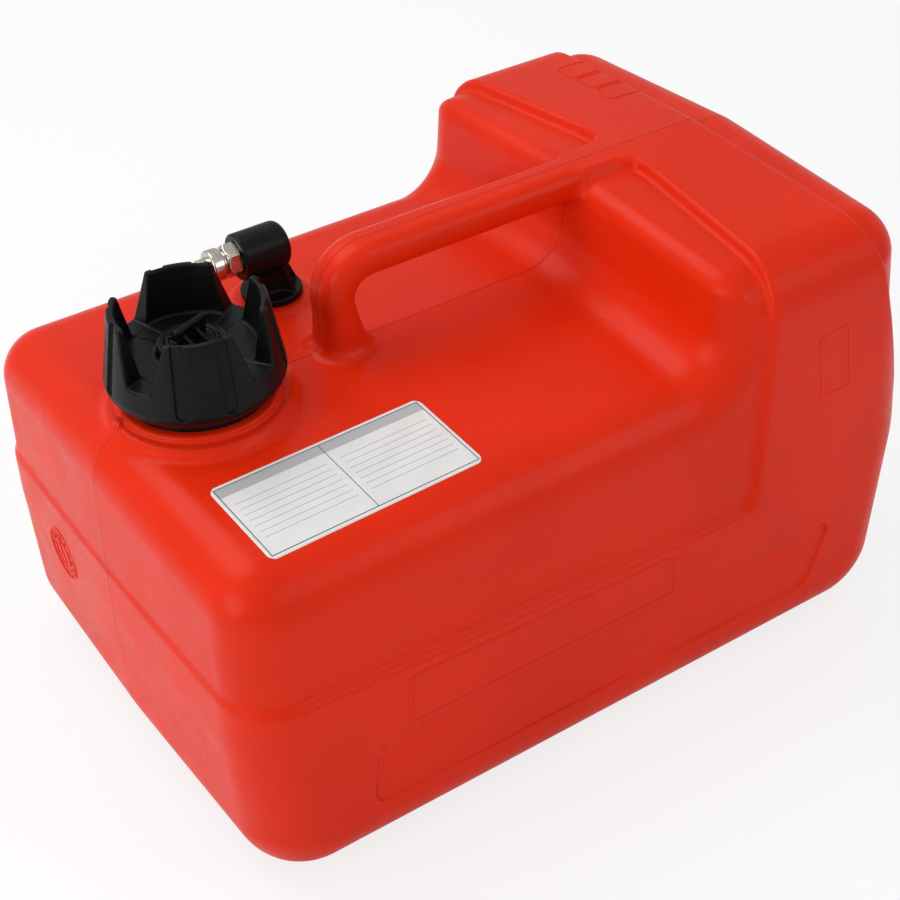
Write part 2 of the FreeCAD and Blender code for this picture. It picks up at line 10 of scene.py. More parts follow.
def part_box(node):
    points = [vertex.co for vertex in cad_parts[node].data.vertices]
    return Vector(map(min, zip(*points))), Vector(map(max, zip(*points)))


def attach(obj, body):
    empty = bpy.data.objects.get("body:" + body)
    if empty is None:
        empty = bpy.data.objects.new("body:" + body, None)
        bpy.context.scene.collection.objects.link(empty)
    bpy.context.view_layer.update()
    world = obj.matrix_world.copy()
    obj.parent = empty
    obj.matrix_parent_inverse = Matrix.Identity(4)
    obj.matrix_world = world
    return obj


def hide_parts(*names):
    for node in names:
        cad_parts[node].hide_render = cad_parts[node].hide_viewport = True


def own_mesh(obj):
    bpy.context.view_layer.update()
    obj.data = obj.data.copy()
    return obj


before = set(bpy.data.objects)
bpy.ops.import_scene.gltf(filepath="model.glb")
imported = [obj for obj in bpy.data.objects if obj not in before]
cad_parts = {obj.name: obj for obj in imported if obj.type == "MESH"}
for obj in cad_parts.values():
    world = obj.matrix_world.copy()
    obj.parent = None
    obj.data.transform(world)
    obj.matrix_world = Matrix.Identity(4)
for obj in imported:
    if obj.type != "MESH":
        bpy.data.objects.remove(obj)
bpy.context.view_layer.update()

bl_info = {
    "name": "Portable Outboard Fuel Tank",
    "version": (1, 0, 0),
    "blender": (4, 5, 0),
    "location": "View3D > Sidebar > Fuel Tank",
    "description": "Dresses a moulded fuel tank, its castle-edged cap and its hose connector",
    "category": "Object",
}

# sizes are in millimetres until a mesh is made
MM = 0.001
HALF_LENGTH = 180.0
NECK_RISE = 20.0
CAP_DECK = 2.6
CAP_BULGE = 0.05


def node_box(name):
    low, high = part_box(name)
    return np.array(low) / MM, np.array(high) / MM


SHELL_LOW, SHELL_HIGH = node_box("tank_shell")
CAP_LOW, CAP_HIGH = node_box("cap_shell")
GASKET_LOW, GASKET_HIGH = node_box("cap_gasket")
OUTLET_LOW, OUTLET_HIGH = node_box("outlet_body")
NOSE_LOW, NOSE_HIGH = node_box("connector_body")
SEAL_LOW, SEAL_HIGH = node_box("outlet_gasket")
LABEL_LOW, LABEL_HIGH = node_box("label")
SPRING_LOW, SPRING_HIGH = node_box("valve_spring")

# levels and places that the frame gives
HALF_WIDTH = SHELL_HIGH[1]
TOP = SHELL_HIGH[2]
NECK_X = (GASKET_LOW[0] + GASKET_HIGH[0]) / 2.0
RIM = GASKET_LOW[2]
SHOULDER = RIM - NECK_RISE
DECK_UNDER = GASKET_HIGH[2]
DECK = DECK_UNDER + CAP_DECK
TAB_TOP = CAP_HIGH[2]
CAP_FOOT = CAP_LOW[2]
CAP_RADIUS = (CAP_HIGH[0] - CAP_LOW[0]) / 2.0 - CAP_BULGE
OUTLET_X = (SEAL_LOW[0] + SEAL_HIGH[0]) / 2.0
OUTLET_Y = (SEAL_LOW[1] + SEAL_HIGH[1]) / 2.0
SEAT = SEAL_LOW[2]
FLANGE = SEAL_HIGH[2]
BARREL_Z = (NOSE_LOW[2] + NOSE_HIGH[2]) / 2.0
BARREL_FACE = OUTLET_LOW[0]

# the moulded form, in the terms its mould maker would use
POCKET = 4.2
SIDE_ROUND = 24.0
BELT = 96.35
BELT_TILT = 0.048
BAND_X = 93.0
BAND_SLANT = 0.11
SHOULDER_FALL = 0.07
BLOCK_FALL = 0.046
END_FALL = 0.023
LEDGE_DROP = 5.0
BACK_INSET = 3.0
WALL = 3.0
GRIP_WIDTH = 20.5
GRIP_DEPTH = 15.8
GRIP_ROUND = 6.9
GRIP_BEND = 16.1
BEND_X = -45.0
FOOT_X = -64.6
FOOT_Z = SHOULDER - 6.0
FOOT_LENGTH = 26.0
FOOT_WIDTH = 25.0
TOP_ROUND = 18.0
ROOT_ROUND = 14.0
ROOT_DEPTH = 12.0
# corners of the sunk panel, clockwise from the low one at the filler end
PANEL = ((-124.0, 30.0), (-121.0, 64.5), (130.0, 62.5), (118.0, 28.0))
PANEL_ROUND = 7.0
# how deep the forms that stand on the shoulder reach down into it
SUNK = 140.0
COLLAR_RADIUS = 38.5
COLLAR_RISE = 1.8
NECK_RADIUS = 26.4
NECK_BORE = 24.5
NECK_RING = 34.2
RING_RISE = 4.8
LUG_REACH = 37.4
LUG_HALF = 2.5
OUTLET_SEAT = 18.2
TAB_TURN = -110.0
BELLY_RISE = 9.6
TAB_LEAN = 5.2
NOTCH_SPREAD = 9.5
NOTCH_MORE = 10.0
CHANNEL_TURN = 15.5
CHANNEL_HALF = 2.5
CHANNEL_DEPTH = 1.3
SKIRT_LIFT = 5.2
KNOB_LIFT = 3.6
POINTER_TURN = -160.0
KNOB_RADIUS = 10.6
KNOB_SEAT = 14.6
HUB_RADIUS = 8.0
STEM_BORE = 4.08
SKIRT_BORE = 30.48
STEM_RADIUS = 4.0
FLANGE_RADIUS = 14.0
COLUMN_RADIUS = 6.6
BARREL_RADIUS = 10.75
BARREL_BACK = 7.6
NUT_HALF = 7.0
# the sides are drawn in by this much, so that raised lines stay inside the solid's box
LINE_ROOM = 0.4
LABEL_TURN = 1.6
LABEL_HALF = (50.0, 23.4)
LABEL_MARGIN = 1.7
# height from which the label is let down onto the shoulder
LABEL_START = 180.0
FILM_THICKNESS = 0.28
FILM_TUCK = 0.15
SPRING_WIRE = 0.32
SPRING_TURNS = 7.5
DIAL = (54.0, 76.0)
DIAL_SCALE = 1.35
NUMBER_DEPTH = 0.25


# distances to solids, negative inside

def side_of(x, z, a, b):
    # distance outside the line from a to b, for an outline that runs clockwise
    dx = b[0] - a[0]
    dz = b[1] - a[1]
    return ((z - a[1]) * dx - (x - a[0]) * dz) / hypot(dx, dz)


def meet(a, b, r):
    # what lies inside both, with the edge between them rounded
    u = np.maximum(a + r, 0.0)
    v = np.maximum(b + r, 0.0)
    return np.minimum(np.maximum(a, b) + r, 0.0) + np.hypot(u, v) - r


def join(a, b, r):
    # what lies inside either, with the corner between them filled
    return -meet(-a, -b, r)


def common(*fields):
    # what lies inside all of them, with sharp edges
    return reduce(np.maximum, fields)


def union(*fields):
    # what lies inside any of them
    return reduce(np.minimum, fields)


def crown(a, b, depth):
    # two nearly level faces run softly into one another
    k = np.maximum(depth - np.abs(a - b), 0.0) / depth
    return np.maximum(a, b) + k * k * depth / 4.0


def rounded_box(u, v, half_u, half_v, r):
    du = np.abs(u) - (half_u - r)
    dv = np.abs(v) - (half_v - r)
    return np.minimum(np.maximum(du, dv), 0.0) + np.hypot(np.maximum(du, 0.0), np.maximum(dv, 0.0)) - r


def soft_side(y):
    return np.sqrt(y * y + 0.5)


def full_outline(x, y, z, inset):
    # belt and back band at full size, or drawn in by an inset
    side = soft_side(y)
    end = END_FALL * side
    left = common(side_of(x, z, (-176.3, 0.0), (-179.2, 66.0)),
                  side_of(x, z, (-179.2, 66.0), (-179.7, 105.0))) + end
    right = crown(side_of(x, z, (166.5 - inset, TOP - inset), (180.0 - inset, 98.0)),
                  side_of(x, z, (180.0 - inset, 98.0), (172.0 - inset, 0.0)), 1.65) + end
    roof = z - (TOP - inset - BLOCK_FALL * side)
    profile = common(meet(left, -z, 31.0), meet(right, -z, 31.0), meet(right, roof, TOP_ROUND))
    return meet(profile, np.abs(y) - (HALF_WIDTH - LINE_ROOM - inset), SIDE_ROUND)


def belt_and_band(x, y, z):
    side = soft_side(y)
    ahead = side_of(x, z, (136.0, TOP - 2.0), (168.0, 124.0)) * -1.0
    under = z - (124.0 - 0.13 * (x - 168.0))
    kept = join(-ahead, under, 9.0)
    front = meet(full_outline(x, y, z, 0.0), kept, 1.8)
    stepped = join(full_outline(x, y, z, BACK_INSET), front, 1.6)
    step = join(z - (BELT - BELT_TILT * x), BAND_X - BAND_SLANT * side - x, 9.0)
    return meet(stepped, step, 3.0)


def shoulder_and_front(x, y, z):
    side = soft_side(y)
    end = END_FALL * side
    left = crown(side_of(x, z, (-166.0, 40.0), (-179.8, 75.0)),
                 side_of(x, z, (-179.8, 75.0), (-178.2, SHOULDER)), 4.6) + end
    slab = meet(left, z - (SHOULDER - SHOULDER_FALL * side), 21.0)
    front = side_of(x, z, (59.0, SHOULDER), (62.5, TOP - LEDGE_DROP))
    block = meet(front, z - (TOP - LEDGE_DROP - BLOCK_FALL * side), 9.0)
    profile = common(join(slab, block, 18.0), 40.0 - z, x - 135.0)
    return meet(profile, np.abs(y) - (HALF_WIDTH - POCKET), SIDE_ROUND - 2.0)


def grip(x, y, z):
    # level bar, bend and widening leg, as one rounded section along a centre line
    middle = TOP - GRIP_DEPTH / 2.0
    bend_z = middle - GRIP_BEND
    to_foot = hypot(FOOT_X - BEND_X, FOOT_Z - bend_z)
    run = sqrt(to_foot ** 2 - GRIP_BEND ** 2)
    turn = pi / 2.0 - (atan2(bend_z - FOOT_Z, BEND_X - FOOT_X) - acos(GRIP_BEND / to_foot))
    start = (BEND_X - GRIP_BEND * sin(turn), bend_z + GRIP_BEND * cos(turn))
    down = (-cos(turn), -sin(turn))
    along = (x - start[0]) * down[0] + (z - start[1]) * down[1]
    aside = (x - start[0]) * down[1] - (z - start[1]) * down[0]
    grow = np.clip(along / run, 0.0, 1.3)
    grow = np.sqrt(grow * grow + 0.04) - 0.2
    bend = np.hypot(x - BEND_X, z - bend_z) - GRIP_BEND
    off = np.where(x >= BEND_X, z - middle, np.where(along > 0.0, aside, bend))
    wide = GRIP_WIDTH / 2.0 + (FOOT_WIDTH - GRIP_WIDTH) / 2.0 * 1.22 * grow
    deep = GRIP_DEPTH / 2.0 + (FOOT_LENGTH - GRIP_DEPTH) / 2.0 * 1.22 * grow
    bar = rounded_box(off, y, deep, wide, GRIP_ROUND + 4.0 * grow)
    return common(bar, x - (BAND_X + 10.0), SHOULDER - 8.0 - z)


def side_panel(x, y, z):
    # bare sunk panel low on the near side
    low, left, high, right = [side_of(x, z, PANEL[i - 1], PANEL[i]) for i in range(4)]
    sides = meet(meet(low, left, PANEL_ROUND), meet(high, right, PANEL_ROUND), PANEL_ROUND)
    return meet(sides, HALF_WIDTH - LINE_ROOM - 1.3 + y, 0.5)


def bare_body(x, y, z):
    return join(belt_and_band(x, y, z), shoulder_and_front(x, y, z), 3.0)


def tank_skin(x, y, z):
    skin = meet(bare_body(x, y, z), -side_panel(x, y, z), 0.9)
    side = soft_side(y)
    roof = z - (TOP - BLOCK_FALL * side)
    web = meet(join(side - GRIP_WIDTH / 2.0, BAND_X + 1.2 - BAND_SLANT * side - x, ROOT_ROUND), roof, 2.5)
    web = common(web, TOP - ROOT_DEPTH - z, BAND_X - 2.0 * ROOT_ROUND - x)
    web = common(web, x - (BAND_X + 6.0), side - (GRIP_WIDTH / 2.0 + ROOT_ROUND))
    skin = common(join(join(skin, grip(x, y, z), 5.0), web, 3.0), roof)
    reach = np.hypot(x - NECK_X, y)
    collar = meet(reach - COLLAR_RADIUS, z - (SHOULDER + COLLAR_RISE), 2.0)
    skin = join(skin, common(collar, SUNK - z), 5.0)
    ring = meet(reach - NECK_RING, z - (SHOULDER + RING_RISE), 1.2)
    lug = common(np.abs(y) - LUG_HALF, NECK_X - LUG_REACH - x, x - NECK_X)
    lug = common(lug, z - (SHOULDER + RING_RISE - 0.4))
    skin = join(skin, common(join(ring, lug, 0.6), SUNK - z), 1.2)
    seat = meet(np.hypot(x - OUTLET_X, y - OUTLET_Y) - OUTLET_SEAT, z - SEAT, 1.4)
    skin = join(skin, common(seat, SUNK - z), 3.0)
    groove = meet(np.abs(y) - 9.0, z - 1.6, 0.8)
    return meet(skin, -groove, 0.8)


def tank_field(x, y, z):
    # the skin with the filler bore and the room that shows through it
    reach = np.hypot(x - NECK_X, y)
    room = common(bare_body(x, y, z) + WALL, reach - 44.0, 110.0 - z)
    hollow = union(common(reach - 25.4, 150.0 - z), room)
    return common(tank_skin(x, y, z), -hollow)


def neck_field(x, y, z):
    # threaded neck with a soft rim
    pitch = 6.0
    reach = np.hypot(x - NECK_X, y)
    turn = np.arctan2(y, x - NECK_X) / (2.0 * pi)
    wave = np.abs(((z - SHOULDER) / pitch - turn) % 1.0 - 0.5) * pitch
    fade = np.clip(np.minimum(z - (SHOULDER + 6.0), RIM - 2.0 - z), 0.0, 1.5) / 1.5
    ridge = np.clip(1.9 - wave * 1.15, 0.0, 1.4) * fade
    tube = meet(reach - NECK_RADIUS - ridge, z - RIM, 0.8)
    return common(meet(tube, NECK_BORE - reach, 0.8), SHOULDER - 3.0 - z)


def cap_field(x, y, z):
    reach = np.hypot(x - NECK_X, y)
    angle = np.arctan2(y, x - NECK_X) - radians(TAB_TURN)
    belly = CAP_FOOT + BELLY_RISE
    skirt = CAP_FOOT + SKIRT_LIFT
    lower = side_of(reach, z, (CAP_RADIUS, belly), (CAP_RADIUS - 3.8, skirt))
    upper = side_of(reach, z, (CAP_RADIUS - TAB_LEAN, TAB_TOP), (CAP_RADIUS + 0.1, belly + 2.0))
    outside = crown(lower, upper, 2.2)
    solid = meet(meet(outside, skirt - z, 0.8), z - TAB_TOP, 1.0)
    well = side_of(reach, z, (CAP_RADIUS - 8.0, TAB_TOP), (CAP_RADIUS - 10.2, DECK))
    solid = meet(solid, -meet(well, DECK - z, 1.4), 1.0)
    quarter = pi / 2.0
    gap = angle % quarter - quarter / 2.0
    spread = np.radians(NOTCH_SPREAD + NOTCH_MORE * np.clip((z - DECK) / (TAB_TOP - DECK), 0.0, 1.1))
    notch = (np.abs(reach * np.sin(gap)) - reach * np.cos(gap) * np.tan(spread)) * np.cos(spread)
    solid = meet(solid, -meet(notch, DECK - z, 1.0), 1.0)
    tab = (angle + quarter / 2.0) % quarter - quarter / 2.0
    off = reach * np.sin(np.abs(tab) - radians(CHANNEL_TURN))
    depth = -(outside + CHANNEL_DEPTH)
    end = DECK - 7.0
    channel = union(common(np.abs(off), end - z + CHANNEL_HALF), np.hypot(off, z - end)) - CHANNEL_HALF
    solid = meet(solid, -meet(channel, depth, 0.4), 0.6)
    seat = meet(reach - KNOB_SEAT, z - (DECK + KNOB_LIFT + 0.9), 1.4)
    seat = meet(seat, -common(reach - 11.3, DECK + KNOB_LIFT - z), 0.4)
    solid = join(solid, common(seat, DECK - 1.0 - z), 2.2)
    hub = common(reach - HUB_RADIUS, DECK_UNDER - 9.0 - z)
    under = common(reach - SKIRT_BORE, z - DECK_UNDER)
    solid = common(solid, -common(under, -hub))
    return common(solid, STEM_BORE - reach)


def knob_field(x, y, z):
    # vent knob: a low dish, and a level finger bar on a plate with two webs across it
    base = DECK + KNOB_LIFT
    crest = base + 8.6
    reach = np.hypot(x - NECK_X, y)
    dish = meet(reach - 9.4, base + 1.2 - z, 0.4)
    disc = meet(meet(reach - KNOB_RADIUS, z - (base + 2.0), 0.5), -dish, 0.3)
    turn = radians(POINTER_TURN)
    u = (x - NECK_X) * cos(turn) + y * sin(turn)
    v = np.abs(y * cos(turn) - (x - NECK_X) * sin(turn))
    ends = common(side_of(u, z, (-7.4, base), (-9.0, crest)), side_of(u, z, (9.0, crest), (7.4, base)))
    plate = meet(ends, common(v - 0.9, z - crest), 0.4)
    bar = np.sqrt(np.maximum(np.abs(u) - 7.8, 0.0) ** 2 + v ** 2 + (z - crest + 0.5) ** 2) - 1.7
    slope = side_of(v, z, (0.0, crest - 1.5), (8.6, base + 1.6))
    webs = meet(np.abs(np.abs(u - 1.5) - 3.4) - 0.6, slope, 0.3)
    grip_bar = join(join(plate, bar, 0.5), common(webs, v - 8.8), 0.6)
    top = join(disc, common(grip_bar, base - z), 0.6)
    stem = common(reach - STEM_RADIUS, DECK_UNDER - 9.2 - z, z - base - 0.5)
    stem = common(stem, -common(3.1 - reach, np.abs(z - (DECK_UNDER - 4.6)) - 1.0))
    tail = common(reach - 2.8, DECK_UNDER - 12.0 - z, z - (DECK_UNDER - 9.0))
    return union(common(top, base - z), stem, tail)


def outlet_field(x, y, z):
    u = x - OUTLET_X
    v = y - OUTLET_Y
    reach = np.hypot(u, v)
    flange = meet(meet(reach - FLANGE_RADIUS, z - (FLANGE + 3.0), 0.8), FLANGE - z, 0.3)
    column = common(reach - COLUMN_RADIUS, FLANGE - z, z - BARREL_Z)
    body = join(flange, column, 1.8)
    ring = np.hypot(v, z - BARREL_Z)
    barrel = meet(meet(ring - BARREL_RADIUS, u - BARREL_BACK, 4.0), BARREL_FACE - x, 1.0)
    body = join(body, barrel, 2.0)
    for degrees in (0.0, 62.0, -62.0):
        turn = radians(degrees)
        out = u * cos(turn) + v * sin(turn)
        side = np.abs(v * cos(turn) - u * sin(turn)) - 1.0
        slope = side_of(out, z, (7.6, BARREL_Z - 7.0), (13.0, FLANGE + 3.0))
        web = common(side, slope, 4.0 - out, np.abs(z - BARREL_Z + 12.0) - 8.0)
        body = join(body, web, 0.8)
    body = common(body, -common(ring - 6.0, x - (BARREL_FACE + 12.0)))
    shank = common(reach - 7.45, SEAT - 12.0 - z, z - FLANGE - 0.5)
    return union(body, common(shank, 4.5 - reach))


def connector_field(x, y, z):
    # u runs outwards from the barrel face, ring is the distance from the axis
    u = BARREL_FACE - x
    v = y - OUTLET_Y
    w = z - BARREL_Z
    ring = np.hypot(v, w)
    turns = [radians(60.0 * i + 42.0) for i in range(6)]
    flats = common(*[v * sin(turn) + w * cos(turn) - NUT_HALF for turn in turns])
    nut = common(flats, -u, u - 6.5)
    nut = meet(nut, side_of(u, ring, (4.8, 8.1), (6.6, 6.9)), 0.15)
    nut = meet(nut, side_of(u, ring, (0.0, 7.3), (0.9, 8.1)), 0.15)
    groove = common(ring - 5.4, np.abs(u - 7.0) - 2.0)
    collar = meet(ring - 7.5, np.abs(u - 10.9) - 2.9, 0.9)
    nose = meet(ring - 4.7, np.abs(u - 15.5) - 3.1, 0.5)
    tip = meet(ring - 3.5, np.abs(u - 20.2) - 3.2, 0.8)
    tip = meet(tip, -common(2.8 - ring, np.abs(u - 20.9) - 0.7), 0.15)
    shank = common(ring - 5.95, np.abs(u + 5.7) - 6.2)
    body = union(nut, groove, collar, nose, tip, shank)
    return common(body, -union(common(ring - 3.3, u - 15.0), ring - 1.9))


# surface of a field as an even mesh of quads

CORNERS = [(i, j, k) for i in (0, 1) for j in (0, 1) for k in (0, 1)]


def slope_of(field, points, reach):
    slope = np.empty_like(points)
    for axis in range(3):
        step = np.zeros(3)
        step[axis] = reach
        after = field(*(points + step).T)
        before = field(*(points - step).T)
        slope[:, axis] = (after - before) / (2.0 * reach)
    return slope


def sampled(field, axes):
    grid = np.empty([len(a) for a in axes], np.float32)
    slab = 16
    for start in range(0, len(axes[0]), slab):
        x, y, z = np.meshgrid(axes[0][start:start + slab], axes[1], axes[2], indexing="ij")
        grid[start:start + slab] = field(x, y, z)
    return grid


def surface_of(field, low, high, cell):
    # one point in each grid cell that the surface crosses, then drawn onto the surface
    low = np.asarray(low, float)
    count = np.ceil((np.asarray(high, float) - low) / cell).astype(int) + 1
    grid = sampled(field, [low[i] + cell * np.arange(count[i]) for i in range(3)])
    inside = grid < 0.0
    total = np.zeros(count - 1, np.int8)
    for i, j, k in CORNERS:
        total += inside[i:count[0] - 1 + i, j:count[1] - 1 + j, k:count[2] - 1 + k]
    cells = np.argwhere((total > 0) & (total < 8))
    values = {c: grid[tuple((cells + c).T)].astype(float) for c in CORNERS}
    spot = np.zeros((len(cells), 3))
    hits = np.zeros(len(cells))
    for c in CORNERS:
        for axis in range(3):
            if c[axis]:
                continue
            a = values[c]
            b = values[tuple(c[i] + (i == axis) for i in range(3))]
            cross = (a < 0.0) != (b < 0.0)
            part = np.where(cross, a / np.where(cross, a - b, 1.0), 0.0)
            for i in range(3):
                spot[:, i] += cross * c[i] + (part if i == axis else 0.0)
            hits += cross
    points = low + (cells + spot / hits[:, None]) * cell
    for _ in range(3):
        slope = slope_of(field, points, cell * 0.1)
        steep = np.maximum((slope * slope).sum(1), 0.25)
        move = -(field(*points.T) / steep)[:, None] * slope
        length = np.maximum(np.linalg.norm(move, axis=1), 1e-9)
        points += move * np.minimum(1.0, 0.45 * cell / length)[:, None]
    slope = slope_of(field, points, cell * 0.12)
    normals = slope / np.maximum(np.linalg.norm(slope, axis=1), 1e-9)[:, None]
    index = np.full(count - 1, -1, np.int64)
    index[tuple(cells.T)] = np.arange(len(cells))
    return points, quads_of(inside, index), normals


def quads_of(inside, index):
    # a quad round every grid edge that the surface crosses
    quads = []
    for axis in range(3):
        first = [slice(1, -1)] * 3
        second = [slice(1, -1)] * 3
        first[axis] = slice(0, -1)
        second[axis] = slice(1, None)
        starts = inside[tuple(first)]
        crossed = np.argwhere(starts != inside[tuple(second)])
        outward = starts[tuple(crossed.T)]
        base = crossed + 1
        base[:, axis] -= 1
        b = (axis + 1) % 3
        c = (axis + 2) % 3
        ring = []
        for back_b, back_c in ((1, 1), (0, 1), (0, 0), (1, 0)):
            cell = base.copy()
            cell[:, b] -= back_b
            cell[:, c] -= back_c
            ring.append(index[tuple(cell.T)])
        quad = np.stack(ring, 1)
        quads.append(np.where(outward[:, None], quad, quad[:, ::-1]))
    return np.concatenate(quads)


def placed(name, data):
    made = bpy.data.objects.new(name, data)
    bpy.context.scene.collection.objects.link(made)
    return made


def quad_piece(name, points, quads, normals=None):
    mesh = bpy.data.meshes.new(name)
    mesh.vertices.add(len(points))
    mesh.vertices.foreach_set("co", (np.asarray(points) * MM).astype(np.float32).ravel())
    mesh.loops.add(len(quads) * 4)
    mesh.loops.foreach_set("vertex_index", np.asarray(quads, np.int32).ravel())
    mesh.polygons.add(len(quads))
    mesh.polygons.foreach_set("loop_start", np.arange(0, len(quads) * 4, 4, dtype=np.int32))
    mesh.polygons.foreach_set("use_smooth", np.ones(len(quads), bool))
    mesh.update(calc_edges=True)
    if normals is not None:
        mesh.normals_split_custom_set_from_vertices(normals.astype(np.float32).tolist())
    return placed(name, mesh)


def field_piece(name, field, low, high, cell):
    margin = 1.5 * cell
    points, quads, normals = surface_of(field, np.asarray(low) - margin, np.asarray(high) + margin, cell)
    return quad_piece(name, np.clip(points, low, high), quads, normals)


def coil_piece(name, low, high, wire, turns):
    # round-wire spring that fills the given box, wound round an axis along x
    sides = 8
    steps = int(turns * 24) + 1
    radius = (high[2] - low[2]) / 2.0 - wire
    centre = (low + high) / 2.0
    turn = np.linspace(0.0, 2.0 * pi * turns, steps)[:, None]
    round_wire = np.linspace(0.0, 2.0 * pi, sides, endpoint=False)[None, :]
    reach = radius + wire * np.cos(round_wire)
    x = high[0] - wire - (high[0] - low[0] - 2.0 * wire) * turn / turn[-1] + wire * np.sin(round_wire)
    points = np.stack([x, centre[1] + reach * np.cos(turn), centre[2] + reach * np.sin(turn)], -1)
    index = np.arange(steps * sides).reshape(steps, sides)
    onward = np.roll(index, -1, 1)
    quads = np.stack([index[:-1], index[1:], onward[1:], onward[:-1]], -1).reshape(-1, 4)
    end = np.array([(0, 1, 2, 3), (0, 3, 4, 7), (4, 5, 6, 7)])
    quads = np.concatenate([quads, end, (steps - 1) * sides + end[:, ::-1]])
    return quad_piece(name, points.reshape(-1, 3), quads)


# small raised marks that follow the skin

def land(points, axis, inward, field=tank_skin):
    # carries points along one axis until they lie on the surface
    points = np.array(points, float)
    for _ in range(40):
        points[:, axis] += inward * field(*points.T)
    return points


def rounded_path(corners, radius, step=1.2):
    # closed outline through corners, each one rounded, as evenly spaced points
    corners = [np.array(c, float) for c in corners]
    points = []
    for i, corner in enumerate(corners):
        before = corners[i - 1] - corner
        after = corners[(i + 1) % len(corners)] - corner
        before /= np.linalg.norm(before)
        after /= np.linalg.norm(after)
        half = acos(float(np.dot(before, after))) / 2.0
        reach = radius / tan(half)
        for t in np.linspace(0.0, 1.0, 7):
            points.append(corner + before * reach * (1.0 - t) ** 2 + after * reach * t ** 2)
    spaced = []
    for i, point in enumerate(points):
        onward = points[(i + 1) % len(points)]
        count = max(1, int(round(np.linalg.norm(onward - point) / step)))
        spaced += [point + (onward - point) * k / count for k in range(count)]
    return np.array(spaced)


def circle_path(centre, radius, step=0.6):
    turns = np.linspace(0.0, 2.0 * pi, int(2.0 * pi * radius / step), endpoint=False)
    return np.stack([centre[0] + radius * np.cos(turns), centre[1] + radius * np.sin(turns)], 1)


def ray_path(centre, degrees, reach):
    # straight line through a centre, at the given distances from it
    turn = radians(degrees)
    return np.stack([centre[0] + reach * cos(turn), centre[1] + reach * sin(turn)], 1)


def raised_line(path, closed, half_width, height, plane, start, inward):
    # low rounded ridge along a path drawn in a plane, laid on the skin
    ahead = np.roll(path, -1, 0)
    behind = np.roll(path, 1, 0)
    if not closed:
        ahead[-1] = path[-1]
        behind[0] = path[0]
    along = ahead - behind
    along /= np.maximum(np.linalg.norm(along, axis=1), 1e-9)[:, None]
    across = np.stack([-along[:, 1], along[:, 0]], 1)
    normal_axis = 3 - plane[0] - plane[1]
    rows = []
    for share, lift in ((-1.0, -0.3), (-0.75, 0.6), (0.0, 1.0), (0.75, 0.6), (1.0, -0.3)):
        flat = path + across * half_width * share
        points = np.zeros((len(path), 3))
        points[:, plane[0]] = flat[:, 0]
        points[:, plane[1]] = flat[:, 1]
        points[:, normal_axis] = start
        points = land(points, normal_axis, inward)
        rows.append(points + unit_slope(points) * height * lift)
    count = len(path)
    base = np.arange(count if closed else count - 1)
    onward = (base + 1) % count
    quads = []
    for row in range(4):
        near = row * count
        far = near + count
        quads.append(np.stack([base + near, onward + near, onward + far, base + far], 1))
    return np.concatenate(rows), facing(np.concatenate(rows), np.concatenate(quads))


def unit_slope(points, field=tank_skin):
    slope = slope_of(field, points, 0.15)
    return slope / np.maximum(np.linalg.norm(slope, axis=1), 1e-9)[:, None]


def facing(points, quads):
    # turns the quads over where they look into the skin
    corner = points[quads]
    across = np.cross(corner[:, 2] - corner[:, 0], corner[:, 3] - corner[:, 1])
    outward = (across * unit_slope(corner.mean(1))).sum(1).mean() > 0.0
    return quads if outward else quads[:, ::-1]


def merged(parts):
    points = []
    quads = []
    offset = 0
    for some_points, some_quads in parts:
        points.append(some_points)
        quads.append(some_quads + offset)
        offset += len(some_points)
    return np.concatenate(points), np.concatenate(quads)


# materials, built with arithmetic on node outputs

class Wire:
    """An output of a material's nodes. Arithmetic on it adds the nodes that work it out."""

    def __init__(self, paint, socket):
        self.paint = paint
        self.socket = socket

    def reckon(self, operation, first, second):
        vector = self.socket.type == "VECTOR"
        kind = "ShaderNodeVectorMath" if vector else "ShaderNodeMath"
        return self.paint.node(kind, {"operation": operation}, {0: first, 1: second})

    def __add__(self, other):
        return self.reckon("ADD", self, other)

    def __radd__(self, other):
        return self.reckon("ADD", other, self)

    def __sub__(self, other):
        return self.reckon("SUBTRACT", self, other)

    def __rsub__(self, other):
        return self.reckon("SUBTRACT", other, self)

    def __mul__(self, other):
        return self.reckon("MULTIPLY", self, other)

    def __rmul__(self, other):
        return self.reckon("MULTIPLY", other, self)

    def __abs__(self):
        return self.paint.node("ShaderNodeMath", {"operation": "ABSOLUTE"}, {0: self})

    def least(self, other):
        return self.reckon("MINIMUM", self, other)

    def most(self, other):
        return self.reckon("MAXIMUM", self, other)

    def ramp(self, low, high, first=0.0, last=1.0):
        # goes smoothly from first to last as this goes from low to high
        span = {"Value": self, "From Min": low, "From Max": high, "To Min": first, "To Max": last}
        return self.paint.node("ShaderNodeMapRange", {"interpolation_type": "SMOOTHSTEP"}, span)


